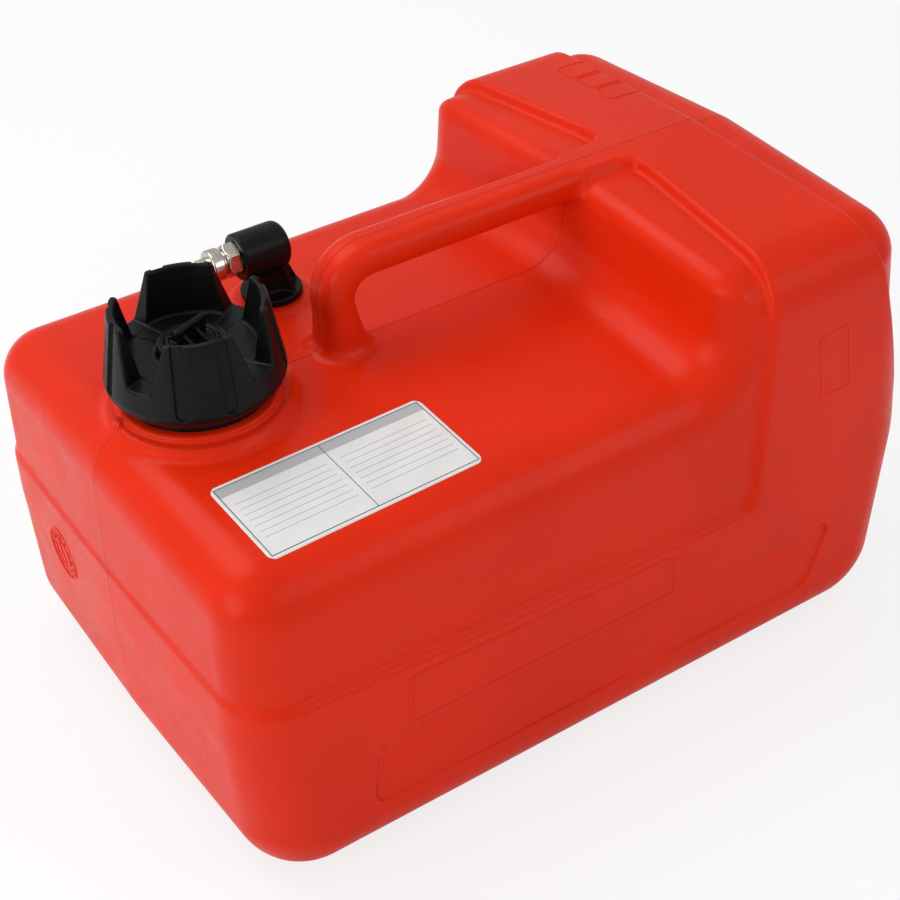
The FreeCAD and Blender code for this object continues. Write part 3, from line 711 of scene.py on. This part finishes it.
class Paint:
    """A material whose nodes are added one call at a time."""

    def __init__(self, name):
        self.material = bpy.data.materials.new(name)
        self.material.use_nodes = True
        self.tree = self.material.node_tree
        self.tree.nodes.clear()
        self.place = self.node("ShaderNodeTexCoord", output="Object") * (1.0 / MM, 1.0 / MM, 1.0 / MM)

    def node(self, kind, settings=None, inputs=None, output=0):
        made = self.tree.nodes.new(kind)
        for key, value in (settings or {}).items():
            setattr(made, key, value)
        for key, value in (inputs or {}).items():
            if isinstance(value, Wire):
                self.tree.links.new(value.socket, made.inputs[key])
            else:
                made.inputs[key].default_value = value
        return Wire(self, made.outputs[output]) if len(made.outputs) else None

    def axes(self):
        # place on the object in millimetres, as three numbers
        outputs = self.node("ShaderNodeSeparateXYZ", inputs={0: self.place}).socket.node.outputs
        return [Wire(self, outputs[i]) for i in range(3)]

    def noise(self, size, detail=3.0, stretch=(1.0, 1.0, 1.0)):
        # cloudy values whose features are about this many millimetres across
        place = self.place * tuple(s / size for s in stretch)
        return self.node("ShaderNodeTexNoise", inputs={"Vector": place, "Scale": 1.0, "Detail": detail})

    def blend(self, factor, first, second):
        return self.node("ShaderNodeMix", {"data_type": "RGBA"}, {0: factor, 6: first, 7: second}, output=2)

    def bump(self, height, depth, below=None):
        inputs = {"Height": height, "Strength": 1.0, "Distance": depth * MM}
        if below is not None:
            inputs["Normal"] = below
        return self.node("ShaderNodeBump", inputs=inputs)

    def surface(self, **inputs):
        # names of shader inputs, with an underscore for each blank
        named = {key.replace("_", " "): value for key, value in inputs.items()}
        shader = self.node("ShaderNodeBsdfPrincipled", inputs=named)
        self.node("ShaderNodeOutputMaterial", inputs={"Surface": shader})
        return self.material


def shade(colour, by):
    # a colour made lighter or darker, as the four numbers that a socket takes
    return tuple(min(1.0, c * by) for c in colour) + (1.0,)


def moulded_plastic(look):
    # blow-moulded polyethylene: soft waves, fine grain, and the line where the mould parts
    paint = Paint("moulded_plastic")
    _, y, z = paint.axes()
    seam = abs(y).ramp(0.12, 0.55, 1.0, 0.0)
    cloud = paint.noise(70.0, 3.0)
    speck = paint.noise(1.3, 2.0)
    tone = paint.blend(cloud.ramp(0.3, 0.7), shade(look.plastic, 0.94), shade(look.plastic, 1.05))
    tone = paint.blend(speck.ramp(0.35, 0.75, 0.0, 0.35), tone, shade(look.plastic, 0.88))
    tone = paint.blend(seam * 0.45, tone, shade(look.plastic, 0.45))
    scuff = paint.noise(2.2, 4.0, (0.16, 1.0, 1.0)).ramp(0.63, 0.72)
    low = z.ramp(2.0, 46.0, 1.0, 0.0)
    tone = paint.blend(scuff * low * 0.25, tone, shade(look.plastic, 1.5))
    rough = paint.noise(18.0, 4.0).ramp(0.25, 0.75, look.roughness - 0.04, look.roughness + 0.05)
    waves = paint.bump(paint.noise(34.0, 2.0), 0.5)
    grain = paint.bump(paint.noise(0.75, 3.0) + speck * 0.6, look.grain / MM, waves)
    line = paint.bump(seam, 0.16, grain)
    return paint.surface(Base_Color=tone, Roughness=rough + scuff * 0.1, Normal=line, IOR=1.5,
                         Specular_IOR_Level=0.12)


def black_plastic(look):
    # injection-moulded cap and fittings: near black with a fine satin texture
    paint = Paint("black_plastic")
    cloud = paint.noise(9.0, 3.0)
    dust = paint.noise(1.1, 4.0).ramp(0.55, 0.8)
    tone = paint.blend(cloud.ramp(0.3, 0.7), shade(look.black, 0.85), shade(look.black, 1.2))
    tone = paint.blend(dust * 0.25, tone, shade(look.black, 2.6))
    rough = paint.noise(4.0, 4.0).ramp(0.25, 0.75, 0.3, 0.4)
    waves = paint.bump(paint.noise(7.0, 2.0), 0.08)
    grain = paint.bump(paint.noise(0.42, 3.0), 0.02, waves)
    return paint.surface(Base_Color=tone, Roughness=rough + dust * 0.08, Normal=grain, IOR=1.5,
                         Specular_IOR_Level=0.15)


def turned_metal(name, colour, rough, axis):
    # lathe-turned metal: faint rings round one axis, and slight tarnish
    paint = Paint(name)
    stretch = tuple(1.0 if i == axis else 0.02 for i in range(3))
    rings = paint.noise(0.16, 2.0, stretch)
    stain = paint.noise(3.2, 4.0)
    tone = paint.blend(stain.ramp(0.35, 0.7), shade(colour, 1.0), shade(colour, 0.78))
    gloss = rings.ramp(0.3, 0.7, rough - 0.05, rough + 0.07) + stain.ramp(0.5, 0.8, 0.0, 0.06)
    return paint.surface(Base_Color=tone, Metallic=1.0, Roughness=gloss, Normal=paint.bump(rings, 0.006))


def soft_rubber(look):
    paint = Paint("soft_rubber")
    bloom = paint.noise(2.4, 4.0)
    tone = paint.blend(bloom.ramp(0.4, 0.75), shade(look.rubber, 1.0), shade(look.rubber, 1.9))
    grain = paint.bump(paint.noise(0.3, 2.0), 0.02)
    return paint.surface(Base_Color=tone, Roughness=bloom.ramp(0.3, 0.7, 0.55, 0.72), Normal=grain)


def natural_plastic(name, colour, rough):
    # uncoloured polymer, a little uneven where it was gated
    paint = Paint(name)
    cloud = paint.noise(6.0, 3.0)
    tone = paint.blend(cloud.ramp(0.3, 0.7), shade(colour, 0.9), shade(colour, 1.04))
    grain = paint.bump(paint.noise(0.5, 3.0), 0.02)
    gloss = cloud.ramp(0.3, 0.7, rough - 0.05, rough + 0.06)
    return paint.surface(Base_Color=tone, Roughness=gloss, Normal=grain)


def woven_screen(look):
    # fine filter cloth: threads round the tube and along it
    paint = Paint("woven_screen")
    x, y, z = paint.axes()
    weft = paint.node("ShaderNodeMath", {"operation": "SINE"}, {0: z * 14.0})
    turn = paint.node("ShaderNodeMath", {"operation": "ARCTAN2"}, {0: y - OUTLET_Y, 1: x - OUTLET_X})
    warp = paint.node("ShaderNodeMath", {"operation": "SINE"}, {0: turn * 62.0})
    thread = weft.most(warp)
    tone = paint.blend(thread.ramp(-0.2, 0.7), shade(look.rubber, 1.0), shade(look.thread, 1.0))
    return paint.surface(Base_Color=tone, Roughness=0.5, Normal=paint.bump(thread, 0.05))


def printed_film(look):
    # plain film: a thin frame, a tinted head strip and ruled lines to write on
    paint = Paint("printed_film")
    turn = radians(LABEL_TURN)
    centre = (LABEL_LOW + LABEL_HIGH) / 2.0
    x, y, _ = paint.axes()
    dx = x - centre[0]
    dy = y - centre[1]
    u = dx * cos(turn) + dy * sin(turn)
    v = dy * cos(turn) - dx * sin(turn)
    half_u = LABEL_HALF[0] - LABEL_MARGIN
    half_v = LABEL_HALF[1] - LABEL_MARGIN
    edge = (half_u - abs(u)).least(half_v - abs(v))
    frame_line = abs(edge).ramp(0.12, 0.3, 1.0, 0.0)
    inside = edge.ramp(0.0, 0.2)
    divider = abs(u).ramp(0.1, 0.25, 1.0, 0.0) * inside
    head = (v - (half_v - 5.6)).ramp(0.0, 0.15) * inside
    pitch = 3.7
    row = paint.node("ShaderNodeMath", {"operation": "PINGPONG"}, {0: v + 60.0, 1: pitch / 2.0})
    margin = (half_u - 3.0 - abs(u)).ramp(0.0, 0.2) * (abs(u) - 3.0).ramp(0.0, 0.2)
    rows = row.ramp(0.1, 0.22, 1.0, 0.0) * margin * (half_v - 8.0 - abs(v)).ramp(0.0, 0.3)
    cloud = paint.noise(14.0, 3.0)
    tone = paint.blend(cloud.ramp(0.3, 0.7), shade(look.film, 0.97), shade(look.film, 1.02))
    tone = paint.blend(head * 0.85, tone, shade(look.head_strip, 1.0))
    ink = frame_line.most(divider).most(rows * 0.55)
    tone = paint.blend(ink, tone, shade(look.ink, 1.0))
    waves = paint.bump(paint.noise(9.0, 2.0), 0.06)
    fibre = paint.bump(paint.noise(0.4, 3.0), 0.01, waves)
    return paint.surface(Base_Color=tone, Roughness=cloud.ramp(0.3, 0.7, 0.34, 0.42), Normal=fibre)


def dress(piece, material):
    if not piece.material_slots:
        piece.data.materials.append(material)
    for place in piece.material_slots:
        place.material = material


def fitted(piece, material, body, slot, *nodes):
    # gives a new piece its finish and its body, and hides the nodes that it stands in for
    dress(piece, material)
    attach(piece, body)
    if nodes:
        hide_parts(*nodes)


# settings that a user would change

def a_colour(name, description, default):
    return FloatVectorProperty(name=name, description=description, default=default, subtype="COLOR",
                               min=0.0, max=1.0)


def a_length(name, description, least, most, default, precision=5):
    return FloatProperty(name=name, description=description, default=default, unit="LENGTH",
                         min=least, max=most, precision=precision)


def an_angle(name, description, degrees):
    return FloatProperty(name=name, description=description, default=radians(degrees), subtype="ANGLE")


def a_power(name, description, default):
    return FloatProperty(name=name, description=description, default=default, unit="POWER", min=0.0)


class TankLook(bpy.types.PropertyGroup):
    plastic: a_colour("Plastic", "Colour of the moulded tank", (0.7, 0.022, 0.003))
    roughness: FloatProperty(name="Roughness", description="How dull the tank's skin is", subtype="FACTOR",
                             min=0.05, max=1.0, default=0.3)
    grain: a_length("Grain depth", "Depth of the fine mould grain", 0.0, 0.001, 0.00003, precision=6)
    cell: a_length("Skin cell", "Size of the mesh cells of the tank's skin", 0.001, 0.005, 0.0017)
    line_height: a_length("Line height", "How far the moulded outlines stand proud", 0.0, 0.002, 0.0004)


class FittingLook(bpy.types.PropertyGroup):
    black: a_colour("Black", "Colour of the cap and the outlet", (0.0042, 0.004, 0.0045))
    plating: a_colour("Plating", "Colour of the plated connector", (0.66, 0.62, 0.55))
    brass: a_colour("Brass", "Colour of the valve pin", (0.72, 0.48, 0.2))
    rubber: a_colour("Rubber", "Colour of the gaskets and rings", (0.012, 0.012, 0.012))
    thread: a_colour("Thread", "Colour of the filter screen's threads", (0.59, 0.59, 0.58))
    cap_cell: a_length("Cap cell", "Size of the mesh cells of the cap", 0.0003, 0.002, 0.0006)
    fine_cell: a_length("Fine cell", "Size of the mesh cells of the small fittings", 0.0002, 0.001, 0.00033)


class LabelLook(bpy.types.PropertyGroup):
    film: a_colour("Film", "Colour of the label's film", (0.7, 0.7, 0.69))
    head_strip: a_colour("Head strip", "Colour of the strip along the label's far edge", (0.36, 0.37, 0.38))
    ink: a_colour("Ink", "Colour of the label's frame and lines", (0.03, 0.03, 0.032))


class StageLook(bpy.types.PropertyGroup):
    azimuth: an_angle("Azimuth", "Turn of the camera round the tank", -33.503)
    elevation: an_angle("Elevation", "Height angle of the camera", 37.336)
    roll: an_angle("Roll", "Tilt of the camera", -1.509)
    distance: FloatProperty(name="Distance", description="From the camera to its aim", unit="LENGTH",
                            min=0.1, default=0.8518)
    aim: FloatVectorProperty(name="Aim", description="Point that the camera looks at", subtype="XYZ_LENGTH",
                             default=(-0.00203, 0.00243, 0.08729), precision=5)
    lens: FloatProperty(name="Lens", description="Focal length on a 36 mm sensor", unit="CAMERA", min=10.0,
                        default=72.06)
    sky: FloatProperty(name="Sky", description="Strength of the even light from all round", min=0.0,
                       default=0.58)
    key: a_power("Key lamp", "Power of the large lamp above and behind", 8.4)
    fill: a_power("Fill lamp", "Power of the lamp on the near side", 3.4)
    end: a_power("End lamp", "Power of the lamp at the filler end", 4.6)
    floor: a_colour("Floor", "Colour of the floor", (0.86, 0.86, 0.86))


# pieces

class FUELTANK_OT_tank(bpy.types.Operator):
    """Makes the tank's skin with its handle, ledges and filler seat"""

    bl_idname = "fueltank.tank"
    bl_label = "Tank skin"

    def execute(self, context):
        look = context.scene.fueltank_tank
        low = SHELL_LOW
        high = SHELL_HIGH.copy()
        high[2] = TOP
        skin = field_piece("tank_skin", tank_field, low, high, look.cell / MM)
        fitted(skin, moulded_plastic(look), "tank", "tank", "tank_shell")
        return {"FINISHED"}


class FUELTANK_OT_neck(bpy.types.Operator):
    """Makes the threaded filler neck"""

    bl_idname = "fueltank.neck"
    bl_label = "Filler neck"

    def execute(self, context):
        reach = NECK_RADIUS + 1.6
        low = (NECK_X - reach, -reach, SHOULDER - 3.0)
        high = (NECK_X + reach, reach, RIM)
        neck = field_piece("filler_neck", neck_field, low, high, 0.8)
        fitted(neck, bpy.data.materials["moulded_plastic"], "tank", "tank")
        return {"FINISHED"}


class FUELTANK_OT_marks(bpy.types.Operator):
    """Lays the moulded outlines and the plain date dial on the skin"""

    bl_idname = "fueltank.marks"
    bl_label = "Moulded marks"

    def execute(self, context):
        height = context.scene.fueltank_tank.line_height / MM
        near = {"plane": (0, 2), "start": -HALF_WIDTH - 1.0, "inward": 1.0}
        boxes = [rounded_path([(-105.5, 68.5), (-104.5, 93.5), (33.0, 88.0), (35.0, 66.5)], 3.0),
                 rounded_path([(113.5, 140.5), (108.0, 172.0), (124.5, 174.0), (130.5, 139.5)], 1.5)]
        parts = []
        for path, rise in zip(boxes, (2.0 * height, height)):
            parts.append(raised_line(path, True, 0.9, rise, **near))
        top = {"plane": (0, 1), "start": TOP + 1.0, "inward": -1.0}
        for i in range(3):
            y = 40.0 + 15.6 * i
            square = rounded_path([(120.0, y), (120.6, y + 13.4), (136.6, y + 12.8), (136.4, y - 0.6)], 1.5)
            parts.append(raised_line(square, True, 0.7, height, **top))
        end = {"plane": (1, 2), "start": -HALF_LENGTH - 2.0, "inward": 1.0}
        for radius, half_width, rise in ((9.5, 0.6, 1.4), (5.2, 0.45, 1.2)):
            ring = circle_path(DIAL, radius * DIAL_SCALE)
            parts.append(raised_line(ring, True, half_width, rise * height, **end))
        for i in range(12):
            spoke = ray_path(DIAL, 30.0 * i, DIAL_SCALE * np.linspace(8.1, 9.2, 4))
            parts.append(raised_line(spoke, False, 0.25, height, **end))
        pointer = ray_path(DIAL, 60.0, DIAL_SCALE * np.linspace(-3.4, 4.2, 12))
        parts.append(raised_line(pointer, False, 0.5, height, **end))
        points, quads = merged(parts)
        points = np.clip(points, SHELL_LOW, SHELL_HIGH)
        marks = quad_piece("moulded_marks", points, quads)
        fitted(marks, bpy.data.materials["moulded_plastic"], "tank", "tank")
        self.dial_numbers(height)
        return {"FINISHED"}

    def dial_numbers(self, height):
        # plain numbers one to twelve round the dial, as on a mould's month wheel
        verts = []
        faces = []
        reach = 6.75 * DIAL_SCALE
        for month in range(1, 13):
            turn = radians(90.0 - 30.0 * month)
            curve = bpy.data.curves.new("number", "FONT")
            curve.body = str(month)
            curve.size = 2.5 * DIAL_SCALE
            curve.extrude = NUMBER_DEPTH
            curve.align_x = "CENTER"
            curve.align_y = "CENTER"
            text = placed("number", curve)
            mesh = bpy.data.meshes.new_from_object(text.evaluated_get(bpy.context.evaluated_depsgraph_get()))
            bpy.data.objects.remove(text)
            offset = len(verts)
            for vertex in mesh.vertices:
                # seen from the filler end, the number reads from left to right along falling y
                y = DIAL[0] - (reach * cos(turn) + vertex.co.x)
                z = DIAL[1] + reach * sin(turn) + vertex.co.y
                verts.append((y, z, vertex.co.z))
            faces += [[offset + i for i in polygon.vertices] for polygon in mesh.polygons]
        verts = np.array(verts)
        spots = np.stack([np.full(len(verts), -HALF_LENGTH - 2.0), verts[:, 0], verts[:, 1]], 1)
        spots = land(spots, 0, 1.0)
        spots += unit_slope(spots) * (verts[:, 2:3] / NUMBER_DEPTH * height * 0.6 + height * 0.1)
        mesh = bpy.data.meshes.new("dial_numbers")
        mesh.from_pydata((spots * MM).tolist(), [], faces)
        piece = placed("dial_numbers", mesh)
        fitted(piece, bpy.data.materials["moulded_plastic"], "tank", "tank")


class FUELTANK_OT_label(bpy.types.Operator):
    """Lays the plain film label on the shoulder"""

    bl_idname = "fueltank.label"
    bl_label = "Label"

    def execute(self, context):
        look = context.scene.fueltank_label
        centre = (LABEL_LOW + LABEL_HIGH) / 2.0
        turn = radians(LABEL_TURN)
        half_u, half_v = LABEL_HALF
        corner = 3.5
        across = self.stations(half_v, 0.98, 34)
        length = self.stations(half_u, 0.99, 72)
        rows = []
        for share in across:
            v = share * half_v
            past = max(0.0, abs(v) - (half_v - corner))
            reach = half_u - corner + sqrt(max(corner ** 2 - past ** 2, 0.0))
            u = length * reach
            rows.append(np.stack([centre[0] + u * cos(turn) - v * sin(turn),
                                  centre[1] + u * sin(turn) + v * cos(turn),
                                  np.full(len(u), LABEL_START)], 1))
        top = land(np.concatenate(rows), 2, -1.0)
        wide = len(length)
        tall = len(across)
        index = np.arange(wide * tall).reshape(tall, wide)
        lift = np.full((tall, wide), -FILM_TUCK)
        lift[1:-1, 1:-1] = FILM_THICKNESS
        top[:, 2] += lift.ravel()
        quads = np.stack([index[:-1, :-1], index[:-1, 1:], index[1:, 1:], index[1:, :-1]], -1).reshape(-1, 4)
        film = quad_piece("label_film", top, quads)
        fitted(film, printed_film(look), "tank", "label", "label")
        return {"FINISHED"}

    def stations(self, half, inner, count):
        # shares from edge to edge, with a narrow strip along each edge that tucks in
        strip = 1.0 - FILM_TUCK / half
        return np.concatenate([[-1.0, -strip], np.linspace(-inner, inner, count), [strip, 1.0]])


class FUELTANK_OT_cap(bpy.types.Operator):
    """Makes the castle-edged cap and the vent knob in its middle"""

    bl_idname = "fueltank.cap"
    bl_label = "Cap and vent"

    def execute(self, context):
        look = context.scene.fueltank_fittings
        black = black_plastic(look)
        cap = field_piece("cap_castle", cap_field, CAP_LOW, CAP_HIGH, look.cap_cell / MM)
        fitted(cap, black, "cap", "cap", "cap_shell")
        low = (NECK_X - KNOB_RADIUS, -KNOB_RADIUS, DECK_UNDER - 12.0)
        high = (NECK_X + KNOB_RADIUS, KNOB_RADIUS, DECK + KNOB_LIFT + 10.0)
        knob = field_piece("vent_pointer", knob_field, low, high, look.fine_cell / MM)
        fitted(knob, black, "vent", "cap", "vent_knob")
        return {"FINISHED"}


class FUELTANK_OT_outlet(bpy.types.Operator):
    """Makes the outlet elbow and the plated hose connector"""

    bl_idname = "fueltank.outlet"
    bl_label = "Outlet and connector"

    def execute(self, context):
        look = context.scene.fueltank_fittings
        black = bpy.data.materials["black_plastic"]
        elbow = field_piece("outlet_elbow", outlet_field, OUTLET_LOW, OUTLET_HIGH, look.fine_cell / MM * 1.3)
        fitted(elbow, black, "tank", "cap", "outlet_body")
        plated = turned_metal("plated_metal", look.plating, 0.2, 0)
        nose = field_piece("hose_connector", connector_field, NOSE_LOW, NOSE_HIGH, look.fine_cell / MM)
        fitted(nose, plated, "tank", "plated", "connector_body")
        return {"FINISHED"}


class FUELTANK_OT_inner(bpy.types.Operator):
    """Gives the gaskets, the valve, the baffle and the pickup their materials"""

    bl_idname = "fueltank.inner"
    bl_label = "Inner pieces"

    def execute(self, context):
        look = context.scene.fueltank_fittings
        rubber = soft_rubber(look)
        white = natural_plastic("natural_nylon", (0.72, 0.7, 0.64), 0.45)
        amber = natural_plastic("pickup_polymer", (0.5, 0.48, 0.42), 0.38)
        brass = turned_metal("turned_brass", look.brass, 0.26, 0)
        steel = turned_metal("spring_steel", (0.5, 0.5, 0.5), 0.28, 0)
        plan = (
            (bpy.data.materials["black_plastic"], ("cap_thread_ring",)),
            (rubber, ("cap_gasket", "vent_oring", "vent_umbrella")),
            (rubber, ("outlet_gasket", "connector_oring", "valve_seal")),
            (white, ("vent_retainer", "vent_baffle")),
            (brass, ("valve_pin", "spring_seat")),
            (amber, ("pickup_tube", "pickup_cage")),
            (woven_screen(look), ("pickup_screen",)),
        )
        for material, names in plan:
            for name in names:
                dress(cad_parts[name], material)
        coil = coil_piece("coil_spring", SPRING_LOW, SPRING_HIGH, SPRING_WIRE, SPRING_TURNS)
        fitted(coil, steel, "tank", "spring", "valve_spring")
        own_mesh(coil)
        return {"FINISHED"}


class FUELTANK_OT_stage(bpy.types.Operator):
    """Sets the floor, the light and the camera"""

    bl_idname = "fueltank.stage"
    bl_label = "Stage"

    def execute(self, context):
        look = context.scene.fueltank_stage
        self.make_floor(look)
        self.make_light(look)
        self.make_camera(context, look)
        context.scene.view_settings.view_transform = "Standard"
        return {"FINISHED"}

    def make_floor(self, look):
        reach = 4.0
        mesh = bpy.data.meshes.new("floor")
        corners = [(-reach, -reach, 0.0), (reach, -reach, 0.0), (reach, reach, 0.0), (-reach, reach, 0.0)]
        mesh.from_pydata(corners, [], [(0, 1, 2, 3)])
        floor = placed("floor", mesh)
        paint = Paint("pale_floor")
        path = paint.node("ShaderNodeLightPath")
        outputs = path.socket.node.outputs
        seen = Wire(paint, outputs["Is Camera Ray"])
        matt = paint.node("ShaderNodeBsdfDiffuse", inputs={"Color": shade(look.floor, 1.0)})
        glow = paint.node("ShaderNodeEmission", inputs={"Color": (1.0, 1.0, 1.0, 1.0), "Strength": 1.0})
        both = paint.node("ShaderNodeMixShader", inputs={0: seen * 0.78, 1: matt, 2: glow})
        paint.node("ShaderNodeOutputMaterial", inputs={"Surface": both})
        mesh.materials.append(paint.material)

    def make_light(self, look):
        world = bpy.data.worlds.new("soft_sky")
        bpy.context.scene.world = world
        world.use_nodes = True
        tree = world.node_tree
        tree.nodes.clear()
        path = tree.nodes.new("ShaderNodeLightPath")
        seen = tree.nodes.new("ShaderNodeMath")
        seen.operation = "MAXIMUM"
        strength = tree.nodes.new("ShaderNodeMapRange")
        strength.inputs["To Min"].default_value = look.sky
        strength.inputs["To Max"].default_value = 1.0
        sky = tree.nodes.new("ShaderNodeBackground")
        end = tree.nodes.new("ShaderNodeOutputWorld")
        tree.links.new(path.outputs["Is Camera Ray"], seen.inputs[0])
        tree.links.new(path.outputs["Is Transmission Ray"], seen.inputs[1])
        tree.links.new(seen.outputs[0], strength.inputs["Value"])
        tree.links.new(strength.outputs["Result"], sky.inputs["Strength"])
        tree.links.new(sky.outputs[0], end.inputs["Surface"])
        sky.inputs["Color"].default_value = (1.0, 1.0, 1.0, 1.0)
        self.lamp("key_lamp", look.key, (-0.35, 0.55, 1.25), (0.0, 0.0, 0.1), 1.1)
        self.lamp("fill_lamp", look.fill, (0.7, -1.2, 0.9), (0.0, 0.0, 0.1), 0.9)
        self.lamp("end_lamp", look.end, (-1.15, -0.25, 0.5), (-0.18, 0.0, 0.09), 0.8)

    def lamp(self, name, power, place, aim, size):
        light = bpy.data.lights.new(name, "AREA")
        light.energy = power
        light.shape = "DISK"
        light.size = size
        lamp = placed(name, light)
        lamp.location = place
        lamp.rotation_euler = (Vector(aim) - Vector(place)).to_track_quat("-Z", "Y").to_euler()

    def make_camera(self, context, look):
        data = bpy.data.cameras.new("camera")
        data.lens = look.lens
        data.sensor_width = 36.0
        data.clip_start = 0.01
        camera = placed("camera", data)
        turn = Matrix.Rotation(look.azimuth, 4, "Z") @ Matrix.Rotation(pi / 2.0 - look.elevation, 4, "X")
        turn = turn @ Matrix.Rotation(look.roll, 4, "Z")
        away = turn @ Vector((0.0, 0.0, look.distance))
        camera.matrix_world = Matrix.Translation(Vector(look.aim) + away) @ turn
        context.scene.camera = camera


PIECES = (FUELTANK_OT_tank, FUELTANK_OT_neck, FUELTANK_OT_marks, FUELTANK_OT_label, FUELTANK_OT_cap,
          FUELTANK_OT_outlet, FUELTANK_OT_inner, FUELTANK_OT_stage)
LOOKS = {"fueltank_tank": TankLook, "fueltank_fittings": FittingLook, "fueltank_label": LabelLook,
         "fueltank_stage": StageLook}


class FUELTANK_PT_panel(bpy.types.Panel):
    """Lists the tank's pieces and their settings"""

    bl_label = "Fuel Tank"
    bl_space_type = "VIEW_3D"
    bl_region_type = "UI"
    bl_category = "Fuel Tank"

    def draw(self, context):
        for key, look in LOOKS.items():
            box = self.layout.box()
            for name in look.__annotations__:
                box.prop(getattr(context.scene, key), name)
        for piece in PIECES:
            self.layout.operator(piece.bl_idname)


def register():
    for kind in (*LOOKS.values(), *PIECES, FUELTANK_PT_panel):
        bpy.utils.register_class(kind)
    for key, look in LOOKS.items():
        setattr(bpy.types.Scene, key, PointerProperty(type=look))


def unregister():
    for key in LOOKS:
        delattr(bpy.types.Scene, key)
    for kind in (FUELTANK_PT_panel, *reversed(PIECES), *reversed(LOOKS.values())):
        bpy.utils.unregister_class(kind)


def main():
    register()
    bpy.ops.fueltank.tank()
    bpy.ops.fueltank.neck()
    bpy.ops.fueltank.marks()
    bpy.ops.fueltank.label()
    bpy.ops.fueltank.cap()
    bpy.ops.fueltank.outlet()
    bpy.ops.fueltank.inner()
    bpy.ops.fueltank.stage()


if __name__ == "__main__":
    main()
